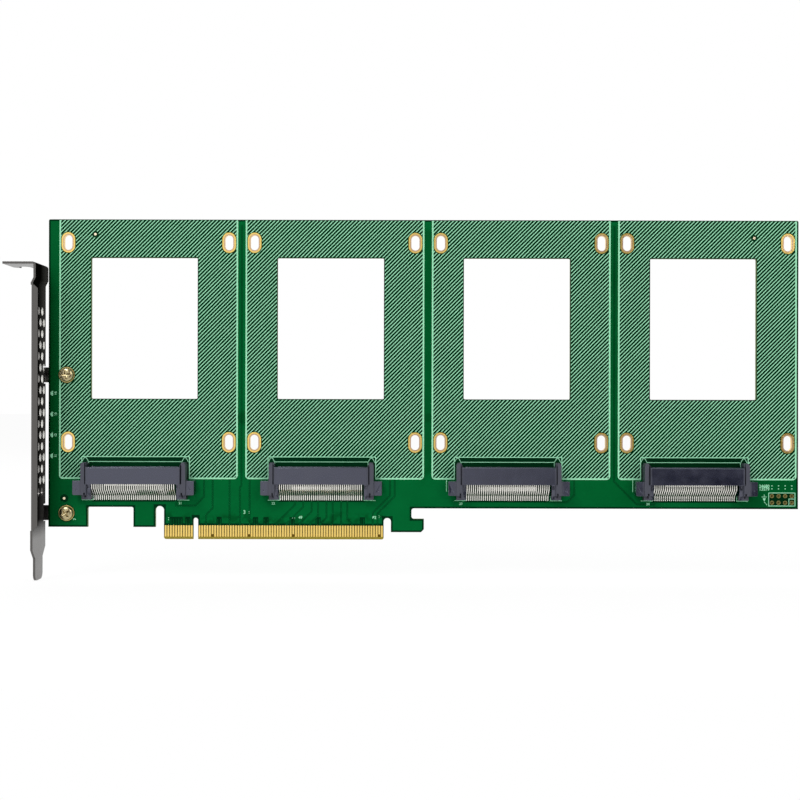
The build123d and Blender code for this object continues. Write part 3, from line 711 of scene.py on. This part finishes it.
# Plastics: slot, name, two shades, edges, roughness, depth of the grain, width of the edges,
# whether shade is painted round the guide posts, own shader values
plastics = {
    slot_name: moulded_material(name, *values) for slot_name, name, *values in (
        # The sockets take painted shade round their guide posts
        ("socket_plastic", "socket_moulding", (6, 8, 22), (18, 20, 38), (66, 74, 88), 0.15, 0.000002,
         0.00015, True, clear_gloss),
        ("chip_black", "chip_compound", (30, 30, 33), (42, 42, 45), (70, 70, 74), 0.5, 0.000006, 0.00008),
        ("capacitor_case", "capacitor_case", (36, 34, 33), (50, 47, 45), (86, 82, 78), 0.45, 0.000005,
         0.0001),
        ("capacitor_ceramic", "fired_ceramic", (142, 112, 82), (166, 134, 100), (186, 160, 128), 0.4,
         0.000003, 0.00006),
    )
}
finishes = {
    **plastics,
    "board_green": mask_material("mask_on_laminate", (0, 27, 9), (1, 34, 12), bare=True),
    "contact_gold": metals["contact_gold"],
    "tinned_lead": metals["tinned_lead"],
    "bracket_steel": metals["bracket_steel"],
    "screw_steel": metals["screw_nickel"],
    "white_ink": ink_material(),
    "light_lens": lens_material(),
}
node_finishes = {
    "header_plating": metals["worn_gold"],
    "screw_hole_plating": metals["ring_gold"],
    "alignment_discs": metals["pale_gold"],
}
for part in frame["record"]["subparts"]:
    materials = frame["nodes"][part["node"]].data.materials
    materials.clear()
    materials.append(node_finishes.get(part["node"], finishes[part["material_slot"]]))


# Laid copper under the mask
def contact_place(number):
    """Across of a card edge contact, counted from the bracket's end; the key is after the eleventh."""
    if number <= contacts_before_key:
        return -key_to_contact - (contacts_before_key - number) * contact_pitch
    return key_to_contact + (number - contacts_before_key - 1) * contact_pitch


def stepped(across, *steps):
    """Corners of a stepped line: each step goes up or down to a height, then across to a place."""
    points = []
    for up, to_across in steps:
        points += [(across, up), (to_across, up)]
        across = to_across
    return points


def pour_outline():
    """The pour's edge: the board's lower outline, drawn in by the pour's margin."""
    gap, chamfer, key_half, above_contacts = pour_margin, 0.5, 1.55, 6.1
    hook = card_right + latch_gap
    left, right, second_foot = board_left + gap, board_right - gap, board_left + first_foot + foot_gap + gap
    feet, lower, hook_bottom = foot_bottom + gap, lower_edge + gap, hook_low + gap
    hook_right = hook + hook_width - gap
    return stepped(
        left, (feet, board_left + first_foot - gap), (lower + 0.35, second_foot),
        (feet, card_left - slot_gap - gap), (13.4, card_left + gap), (above_contacts, -key_half),
        (9.3, key_half), (above_contacts, card_right - gap), (9.0, hook + gap),
        (hook_bottom, hook_right - chamfer),
    ) + [(hook_right, hook_bottom + chamfer)] + stepped(
        hook_right, (hook_high - gap, hook + hook_neck - gap), (lower, right), (board_top - gap, left)
    )


# Courses of the pairs of traces
feet_line = 14.75
print_line = bays[0][0][2]
under_print, under_top = print_line + 0.4, board_top - 2.0
first_gap = (bays[0][1][0] + bays[1][0][0]) / 2
third_gap = (bays[2][1][0] + bays[3][0][0]) / 2
beside_first, beside_fourth = socket_centres[0] + 15.6, socket_centres[3] - 14.8


def straight_route(number, shift):
    """A route that runs straight up from a contact to the print."""
    across = contact_place(number) + shift
    return [(across, contact_top), (across, under_print)]


def slanted_route(number, shift, turn_up, to_across, top):
    """A route up from a contact, then at 45 degrees to another place across, then up again."""
    across = contact_place(number) + shift
    slant_top = turn_up + abs(to_across - across)
    return [(across, contact_top), (across, turn_up), (to_across, slant_top), (to_across, top)]


lanes_left = [
    slanted_route(14, 0.5, 9.4, 6.5, under_print),
    straight_route(23, 0.5),
    slanted_route(27, 0.5, 20.0, first_gap, under_top),
    straight_route(31, 0.2),
]
lanes_right = [
    slanted_route(78, 0.5, 10.3, 74.6, under_print),
    slanted_route(80, 0.3, 10.0, 76.4, under_print),
]
lanes_up = [
    slanted_route(number, 0.5, 6.2, foot, feet_line)
    for number, foot in (
        (41, 38.1), (45, 41.3), (50, 44.5), (54, 47.0), (58, 50.2), (62, 52.6), (66, 55.8), (70, 58.2),
    )
]
lanes_far = [
    [(beside_first, feet_line), (beside_first, 12.9), (-0.2, 12.9), (3.2, 16.3), (3.2, under_print)],
    [(third_gap, under_top), (third_gap, print_line - 0.6), (third_gap + 8.8, print_line - 9.4),
     (beside_fourth - 0.6, print_line - 9.4), (beside_fourth, feet_line)],
    [(145.3, under_print), (145.3, 17.2), (142.6, 14.5), (135.4, 14.5), (134.6, feet_line + 0.4)],
]
front_lanes = lanes_left + lanes_right + lanes_up + lanes_far
back_lanes = lanes_left + lanes_right + lanes_far


def relief_parts(lanes, stubs, on_front):
    """The outlines that shape one side's copper: the pour, what is kept clear of it, and the pairs of
    traces laid in its channels."""
    window_gap, land_gap, screw_gap, header_gap, ink_gap = 0.6, 0.6, 0.35, 0.4, 0.1
    stub_side, stub_top, stub_room = 0.5, 7.9, 8.6
    socket_half, socket_top = 16.6, 21.2
    clear, traces = [], []
    for centre in bay_centres:
        middle, half = centre + window_offset, window_half + window_gap
        bottom, top = window_low - window_gap, window_high + window_gap
        clear.append(rectangle(middle - half, middle + half, bottom, top))
    clear += [upright_slot(*spot, land_width + land_gap, land_length + land_gap) for spot in slot_spots]
    for across, up in screw_places:
        clear.append(circle(across, up, screw_pad + screw_gap, 32))
    low, high = header_low - header_gap, header_high + header_gap
    clear.append(rectangle(low[0], high[0], low[2], high[2]))
    for lane in lanes:
        clear.append(band(lane, 2 * trace_width + trace_gap + 2 * channel_side))
        for side in (-1, 1):
            traces.append(band(beside(lane, side * (trace_gap + trace_width) / 2), trace_width))
    for number in stubs:
        across = contact_place(number)
        clear.append(rectangle(across - stub_side, across + 1 + stub_side, contact_top, stub_room))
        for step in (0, 1):
            traces.append(band([(across + step, contact_top), (across + step, stub_top)], trace_width))
    if on_front:
        for low, high in bays:
            clear.append(rectangle(low[0] + ink_gap, high[0] - ink_gap, low[2] + ink_gap, board_top))
        for centre in socket_centres:
            clear.append(rectangle(centre - socket_half, centre + socket_half, feet_line - 0.4, socket_top))
        clear.append(circle(first_disc[0] + disc_radius, first_disc[2] + disc_radius, disc_clearing))
    return [pour_outline()], clear, traces


for side, name, lanes, stubs in (
    (-1, "front", front_lanes, (3, 5, 6, 9, 19, 33, 37, 47, 57, 74)),
    (1, "back", back_lanes, (4, 8, 21, 35, 43, 52, 64, 72)),
):
    copper = flat_layer(*relief_parts(lanes, stubs, side == -1), 0, relief)
    piece(f"copper_relief_{name}", copper, "board_green", side, finish=copper_mask)


# Covered vias
via_random = np.random.default_rng(12)
via_zones = (
    # left, right, bottom and top
    (-54.0, -42.5, 13.0, 14.5), (-10.5, 0.0, 13.4, 14.6), (4.8, 12.0, 9.0, 21.0), (14.5, 16.3, 7.0, 20.0),
    (22.5, 26.0, 7.5, 20.0), (24.0, 71.0, 6.8, 8.2), (78.0, 95.0, 13.2, 21.0), (98.0, 144.0, 12.9, 14.0),
    (148.0, 158.0, 13.2, 21.0), (178.0, 214.0, 12.9, 14.0),
)


def via_places(count):
    """Places of covered vias on the laid copper, spread at random in zones off the traces."""
    places = []
    for left, right, bottom, top in via_zones:
        across, up = via_random.uniform(left, right, count), via_random.uniform(bottom, top, count)
        places.append(np.column_stack([across, up, np.full(count, relief)]))
    return np.vstack(places)


def covered_via():
    """A covered via: a ring of eight sides that swells from its rim and sinks at its middle."""
    return spun((0.32, 0.24, 0.14, 0.02), (0.0, 0.03, 0.028, 0.012), 8)


vias = repeated(*covered_via(), via_places(9))
piece("vias_front", vias, "board_green", -1, smooth=60, finish=copper_mask)


# Inner rims of the plated slots, where the land turns down into the slot
def slot_rims():
    """A flat ring round every drive slot: the area between two upright slot outlines."""
    bottom, top, overlap = 0.04, 0.065, 0.06
    wanted, unwanted = (
        [upright_slot(*spot, slot_width + more, slot_length + more, 14) for spot in slot_spots]
        for more in (2 * rim_width, -overlap)
    )
    return flat_layer(wanted, unwanted, [], bottom, top)


rims = slot_rims()
for side, name in ((-1, "front"), (1, "back")):
    piece(f"slot_rims_{name}", rims, "contact_gold", side, finish=metals["slot_rim"])


# Solder in the header's holes, coloured dark as painted shade
def hole_filling():
    """Solder sunk in a hole: its height falls from the rim to the middle as a parabola of the radius,
    and a plain disc closes it behind."""
    radius, rim, sunk, behind = 0.5, 0.02, 0.22, -1.6
    reach = np.array([0.02, 0.35, 0.7, 1.0, 1.0, 0.02])
    heights = np.append(rim - sunk * (1 - reach[:4] ** 2), (behind, behind))
    return spun(radius * reach, heights, 20)


header_spots = [
    (header_low[0] + header_pad / 2 + column * header_pitch,
     header_low[2] + header_pad / 2 + row * header_pitch, 0.0)
    for column in range(4) for row in (0, 1)
]
filling = repeated(*hole_filling(), header_spots)
# The solder is coloured dark as painted shade in the holes
piece("header_hole_solder", filling, "tinned_lead", -1, smooth=50, finish=metals["dull_solder"])


# Socket leads and their solder
def lead_path(exit_out, tip, shoulder, foot_top, foot_end):
    """A lead's middle line: a bowed contact in the slot, straight out of the body, over a rounded
    shoulder, down a slope and onto a foot that lies on the board."""
    half = lead_thickness / 2
    path = [
        (exit_out - 0.05, tip), (exit_out - 0.5, tip - 1.6), (exit_out, tip - 3.6),
        (exit_out, body_bottom - shoulder), (half, foot_top), (half, foot_end),
    ]
    return rounded(path, (0.8, 0.6, 0.55, 0.35), 3)


def solder_mound(length):
    """Solder round a foot: its height is a parabola across times one minus the fourth power along,
    and its outline narrows a little to its ends."""
    half_width, narrowing, base, height = 0.19, 0.2, 0.02, 0.1
    across, along = np.meshgrid(np.linspace(-1, 1, 5), np.linspace(-1, 1, 6))
    points = np.stack([
        half_width * across * (1 - narrowing * along ** 2),
        length / 2 * along,
        base + height * (1 - across ** 2) * (1 - along ** 4),
    ], -1)
    return points.reshape(-1, 3), grid_faces(6, 5)


lead_rows = (
    # name, count, height where a lead leaves the body, shoulder, top of its foot
    ("outer", 40, 4.0, 1.85, 16.75),
    ("inner", 28, 2.6, 0.7, 20.25),
)
for number in bay_numbers:
    row_middle = middle_of(f"socket_{number}_outer_leads")[0]
    mounds = []
    for row, count, exit_out, shoulder, foot_top in lead_rows:
        node = f"socket_{number}_{row}_leads"
        low, high = corners(node)
        places = np.zeros((count, 3))
        places[:, 0] = row_middle + (np.arange(count) - (count - 1) / 2) * lead_pitch
        path = lead_path(exit_out, high[2], shoulder, foot_top, low[2])
        strips = repeated(*bent_strip(path, lead_width, lead_thickness), places)
        piece(f"socket_{number}_{row}_lead_strips", strips, "tinned_lead", -1, smooth=50, node=node)
        pads = places + (0, (foot_top + low[2]) / 2 - 0.1, 0)
        mounds.append(repeated(*solder_mound(foot_top - low[2] + 0.5), pads))
    piece(f"socket_{number}_solder", together(*mounds), "tinned_lead", -1, smooth=60)


# Bracket screws
def screw_head(turned):
    """A pan head over a polar grid. Its height is a superellipse of the radius; the cross recess goes
    down by a depth that falls off along each arm, times a smooth step across the arm."""
    radius, height, seat, rings, steps = 2.7, 1.9, 0.05, 34, 96
    arm_width, narrowing, softness, arm_depth, arm_reach = 0.42, 0.1, 0.16, 1.25, 1.75
    reach, angle = np.meshgrid(np.linspace(0, 1, rings), full_turn(steps), indexing="ij")
    out = seat + height * (0.28 + 0.72 * (1 - reach ** 3.2) ** (1 / 2.6))
    along = reach * radius * np.stack([np.cos(angle - turned), np.sin(angle - turned)])
    nearest, furthest = np.sort(np.abs(along), axis=0)
    width = arm_width - narrowing * furthest
    edge = np.clip((width - nearest) / softness + 0.5, 0, 1)
    edge = edge * edge * (3 - 2 * edge)
    out = out - edge * arm_depth * np.clip(1 - furthest / arm_reach, 0, 1) ** 0.6
    top = np.stack([reach * radius * np.cos(angle), reach * radius * np.sin(angle), out], -1)
    rim = top[-1].copy()
    rim[:, 2] = seat
    skirt = np.stack([rim, rim * (0.2, 0.2, 1)])
    return np.concatenate([top, skirt]).reshape(-1, 3), grid_faces(rings + 2, steps, ring=True)


def screw_thread():
    """The shank: its radius falls from the crest by the thread's depth, as a triangle wave of the
    height in pitches less the turn, and it tapers at its end."""
    crest, depth, pitch, start, end, rings, steps = 1.45, 0.2, 0.5, 0.06, -2.95, 73, 24
    rise, turn = np.meshgrid(np.linspace(start, end, rings), full_turn(steps), indexing="ij")
    phase = (rise / pitch - turn / (2 * math.pi)) % 1
    taper = np.clip((rise - end) / 0.3, 0, 1)
    radius = (crest - depth * np.abs(2 * phase - 1)) * (0.82 + 0.18 * taper)
    points = np.stack([radius * np.cos(turn), radius * np.sin(turn), rise], -1)
    tip = points[-1] * (0.02, 0.02, 1)
    return np.concatenate([points, tip[None]]).reshape(-1, 3), grid_faces(rings + 1, steps, ring=True)


for name, turned, (across, up) in zip(("lower", "upper"), (0.62, 0.2), screw_places):
    points, faces = together(screw_head(turned), screw_thread())
    screw = (points + (across, up, 0), faces)
    piece(f"pan_head_screw_{name}", screw, "screw_steel", -1, smooth=40, node=f"bracket_screw_{name}")


# Parts on the solder side
def blocks(places, across, up, bottom, top, radius, shift=0.0):
    """The same rounded block at several places of the solder side, moved sideways by a shift."""
    shape = rounded_block((-across / 2 + shift, -up / 2, bottom), (across / 2 + shift, up / 2, top), radius)
    return repeated(*shape, [(*place, 0) for place in places])


def two_ends(places, length, width, height, end, radius, lengthways):
    """Metal end caps, one at each end of every block, which lies across or upright."""
    caps = []
    size = (end, width + 0.02) if lengthways else (width + 0.02, end)
    for side in (-1, 1):
        shift = side * (length - end) / 2
        ends = np.array(places) + ((shift, 0) if lengthways else (0, shift))
        caps.append(blocks(ends, *size, 0, height + 0.01, radius))
    return together(*caps)


coupling_pitch, light_pitch, buffer_pitch, buffer_edge = 1.6, 8.0, 0.5, 2.45
coupling_spots = [
    (centre + (number - 3.5) * coupling_pitch, lower_edge + 1.4)
    for centre in socket_centres for number in range(8)
]
light_rises = [31.9 + light_pitch * number for number in range(4)]
light_spots = [(board_left + 1.2, rise) for rise in light_rises]
resistor_spots = [(across + 3.0, rise) for across, rise in light_spots]
bulk_spots = [(centre, window_low - 12.4) for centre in bay_centres]
buffer_spot = middle_of("clock_buffer")
buffer_pads = []
for step in range(8):
    offset = (step - 3.5) * buffer_pitch
    for side in (-1, 1):
        beside_body = (buffer_spot[0] + side * buffer_edge, buffer_spot[1] + offset)
        above_body = (buffer_spot[0] + offset, buffer_spot[1] + side * buffer_edge)
        buffer_pads.append(blocks([beside_body], 0.4, 0.25, 0, 0.2, 0.02))
        buffer_pads.append(blocks([above_body], 0.25, 0.4, 0, 0.2, 0.02))

for name, slot_name, node, smooth, shape in (
    ("coupling_capacitor_bodies", "capacitor_ceramic", "coupling_capacitors", 50,
     blocks(coupling_spots, 0.46, 0.8, 0.02, 0.48, 0.05)),
    ("coupling_capacitor_ends", "tinned_lead", None, 50,
     two_ends(coupling_spots, 1.0, 0.48, 0.49, 0.25, 0.06, False)),
    ("light_resistor_bodies", "chip_black", "light_resistors", 50,
     blocks(resistor_spots, 0.8, 0.46, 0.02, 0.46, 0.04)),
    ("light_resistor_ends", "tinned_lead", None, 50,
     two_ends(resistor_spots, 1.0, 0.47, 0.46, 0.22, 0.04, True)),
    ("bulk_capacitor_cases", "capacitor_case", "bulk_capacitors", 50,
     blocks(bulk_spots, 6.9, 4.3, 0.12, 1.9, 0.18)),
    ("bulk_capacitor_terminals", "tinned_lead", None, 50,
     two_ends(bulk_spots, 7.3, 2.4, 0.85, 0.5, 0.08, True)),
    ("bulk_capacitor_stripes", "white_ink", None, None,
     blocks(bulk_spots, 1.1, 4.1, 1.86, 1.91, 0.015, shift=-2.6)),
    ("clock_buffer_body", "chip_black", "clock_buffer", 50,
     blocks([buffer_spot], 5.0, 5.0, 0.05, 0.9, 0.06)),
    ("clock_buffer_pads", "tinned_lead", None, None, together(*buffer_pads)),
    ("status_light_bases", "white_ink", "status_lights", 50,
     blocks(light_spots, 1.6, 1.2, 0.0, 0.35, 0.04)),
    ("status_light_lenses", "light_lens", None, 50, blocks(light_spots, 1.1, 1.1, 0.3, 0.8, 0.2)),
):
    piece(name, shape, slot_name, 1, smooth, node)


# Print: strokes
beside_header = header_low[0] - 2.15


def socket_strokes(centre, with_side_line):
    """Fine lines round one socket: a small roof over each guide post, and a line beside the wing."""
    roof_low, roof_high, roof_foot, roof_half, roof_flat = 29.6, 31.25, 28.2, 1.3, 0.4
    line_across, line_top, line_bottom = 23.65, 23.0, 18.4
    lines = []
    for side, post in ((-1, 19.35), (1, 19.0)):
        middle = centre + side * post
        lines.append([
            (middle + side * roof_half, roof_low), (middle + side * roof_flat, roof_high),
            (middle - side * roof_flat, roof_high), (middle - side * roof_half, roof_low),
            (middle - side * roof_half, roof_foot),
        ])
    if with_side_line:
        lines.append([(centre - line_across, line_top), (centre - line_across, line_bottom)])
    return lines


def header_marks():
    """A corner round pin 1 and a diode sign as strokes, and filled shapes with two rows of dots."""
    left, right, bottom, top = header_low[0], header_high[0], header_low[2], header_high[2]
    across, up = beside_header, bottom + 1.9
    lines = [
        [(right - 1.9, bottom - 0.6), (right - 1.9, bottom + 2.25), (right + 0.6, bottom + 2.25)],
        [(across - 1.0, up + 1.1), (across + 1.0, up + 1.1)],
        [(across, up + 1.1), (across, up + 2.1)],
        [(across, up - 0.8), (across + 1.1, up - 2.0)],
    ]
    filled = [[(across - 0.6, up + 0.6), (across + 0.6, up + 0.6), (across, up - 0.7)]]
    half_width, half_height = 0.22, 0.18
    for column in range(4):
        across = left + 0.8 + column * header_pitch
        for up in (top + 2.0, top + 2.0 + 1.15):
            low, high = up - half_height, up + half_height
            filled.append(rectangle(across - half_width, across + half_width, low, high))
    return lines, filled


strokes = []
for number, centre in enumerate(socket_centres):
    strokes += socket_strokes(centre, number > 1)
header_lines, filled = header_marks()
drawn = [band(stroke, stroke_width) for stroke in strokes + header_lines] + filled
piece("print_strokes", flat_layer(drawn, [], [], 0, ink_out), "white_ink", -1)


# Print: plain numbers
def number_mark(text, across, up, size, turned=0.0):
    """A plain number in ink, filled from the built-in font, made a mesh and laid on the front."""
    curve = bpy.data.curves.new("number_mark", "FONT")
    curve.body, curve.size, curve.extrude = text, size * mm, ink_out * mm / 2
    curve.offset = stroke_growth * mm
    curve.align_x, curve.align_y, curve.resolution_u = "CENTER", "CENTER", 3
    holder = bpy.data.objects.new("number_mark", curve)
    mesh = bpy.data.meshes.new_from_object(holder)
    bpy.data.objects.remove(holder)
    upright = Matrix.Rotation(math.pi / 2, 4, "X") @ Matrix.Rotation(turned, 4, "Z")
    place = Matrix.Translation((across * mm, -(half_board + ink_out / 2) * mm, up * mm))
    mesh.transform(place @ upright)
    return mesh


quarter_turn = math.pi / 2
marks = [
    (str(number), board_left + 2.75, rise, 1.25, quarter_turn)
    for number, rise in zip((11, 12, 13, 14), light_rises)
]
marks += [
    (str(number), centre + across, 13.8, 1.3)
    for number, centre, across in zip((21, 22, 23, 24), socket_centres, (17.2, -18.6, -18.1, -17.8))
]
marks += [
    ("3", 18.7, 10.4, 1.9), (":", 20.5, 10.5, 1.9), ("49", 40.2, 8.4, 1.5), ("82", 68.6, 8.4, 1.5),
    (":", 70.4, 8.9, 1.5), (":", -10.4, 8.0, 2.2), (". .", 37.6, 8.6, 1.6),
    ("7", -46.4, 7.6, 1.5, quarter_turn),
    ("24680", beside_header, header_high[2] + 2.95, 1.6),
    ("13579", beside_header, header_high[2] + 1.8, 1.6),
]


def cleaned(meshes, name, flat_angle=0.0):
    """Meshes in one new mesh, doubles merged; faces that meet at under a flat angle are joined."""
    shape = bmesh.new()
    for mesh in meshes:
        shape.from_mesh(mesh)
    bmesh.ops.remove_doubles(shape, verts=shape.verts, dist=1e-7)
    if flat_angle:
        bmesh.ops.dissolve_limit(
            shape, angle_limit=math.radians(flat_angle), verts=shape.verts, edges=shape.edges,
            delimit={"NORMAL"},
        )
    joined = bpy.data.meshes.new(name)
    shape.to_mesh(joined)
    shape.free()
    return joined


mark_meshes = [number_mark(*mark) for mark in marks]
dress(placed("print_numbers", cleaned(mark_meshes, "print_numbers")), "white_ink")
for mesh in mark_meshes:
    bpy.data.meshes.remove(mesh)


# Eased copies of the socket bodies
def eased_copy(node, name, slot_name):
    """A copy of a CAD node with its flat faces joined, whose sharp edges get a small round by the
    bevel modifier."""
    round_width, segments, flat_angle, sharp_angle = 0.14, 2, 0.6, math.radians(40)
    mesh = cleaned([frame["nodes"][node].data], name, flat_angle)
    mesh.shade_smooth()
    mesh.set_sharp_from_angle(angle=sharp_angle)
    thing = placed(name, mesh)
    bevel = thing.modifiers.new("eased_edges", "BEVEL")
    bevel.width, bevel.segments, bevel.limit_method = round_width * mm, segments, "ANGLE"
    bevel.angle_limit, bevel.harden_normals, bevel.use_clamp_overlap = sharp_angle, True, True
    return dress(thing, slot_name, node)


for number in bay_numbers:
    eased_copy(f"socket_{number}_body", f"socket_{number}_moulding", "socket_plastic")


# Floor: pale paper that reads white to the camera
floor_level, floor_size, floor_back = bracket_low[2] - 0.1, 6.0, 2.8
bpy.ops.mesh.primitive_plane_add(size=floor_size, location=(0, floor_back, floor_level * mm))
floor = bpy.context.object
floor.name = "floor"
paper, tree, surface = new_material("pale_floor")
fill(surface, {"Base Color": (0.86, 0.86, 0.86, 1.0), "Roughness": 0.9})
glow = put(tree, "ShaderNodeEmission", {"Color": white, "Strength": 1.0})
seen = put(tree, "ShaderNodeLightPath").outputs
mirrored = calc("MAXIMUM", seen["Is Glossy Ray"], seen["Is Transmission Ray"])
lit = product(calc("MAXIMUM", seen["Is Camera Ray"], mirrored), 0.93)
mixed = put(tree, "ShaderNodeMixShader", {0: lit, 1: surface.outputs[0], 2: glow.outputs[0]})
tree.links.new(mixed.outputs[0], tree.nodes["Material Output"].inputs["Surface"])
floor.data.materials.append(paper)

# World: white to the camera, grey light all round, and a dark room in mirrors at the front right
world = bpy.data.worlds.new("studio")
bpy.context.scene.world = world
world.use_nodes = True
tree = world.node_tree
direction = place_in(tree, "Generated")[1]
seen = put(tree, "ShaderNodeLightPath").outputs
in_front = spread(direction[1], -0.6, 0.0, 1.0, 0.0)
to_right = spread(direction[0], -0.03, 0.21, 0.0, 1.0)
room = blended(product(in_front, to_right), white, (0.04, 0.04, 0.05, 1.0))
soft = blended(seen["Is Diffuse Ray"], room, (0.6, 0.6, 0.6, 1.0))
shown = blended(seen["Is Camera Ray"], soft, white)
fill(tree.nodes["Background"], {"Color": shown, "Strength": 1.0})


# Lamps
def soft_lamp(name, place, size, power):
    """A square lamp at a place in metres, turned to the middle of the card."""
    lamp = bpy.data.lights.new(name, "AREA")
    lamp.energy, lamp.size = power, size
    holder = placed(name, lamp)
    holder.location = place
    towards = Vector((0.087, 0.0, 0.06)) - holder.location
    holder.rotation_euler = towards.to_track_quat("-Z", "Y").to_euler()


soft_lamp("key", (-0.35, -0.75, 0.85), 0.55, 7.5)
soft_lamp("fill", (0.75, -0.8, 0.45), 0.55, 3.5)
soft_lamp("rim", (0.1, 0.8, 0.9), 0.7, 6.0)

# Camera: straight ahead, at the photo's scale in millimetres a pixel
photo_scale, photo_width = 0.3839, 800
photo_across, photo_up = 78.35, 53.6
camera_distance, camera_roll = 520.0, -0.12
camera = bpy.data.cameras.new("photo_view")
camera.sensor_width = 36.0
camera.lens = camera.sensor_width * camera_distance / (photo_width * photo_scale)
camera.clip_start, camera.clip_end = 0.01, 20.0
holder = placed("photo_view", camera)
holder.location = (photo_across * mm, -(half_board + camera_distance) * mm, photo_up * mm)
holder.rotation_euler = (math.pi / 2, math.radians(camera_roll), 0)
bpy.context.scene.camera = holder
bpy.context.scene.view_settings.view_transform = "Standard"
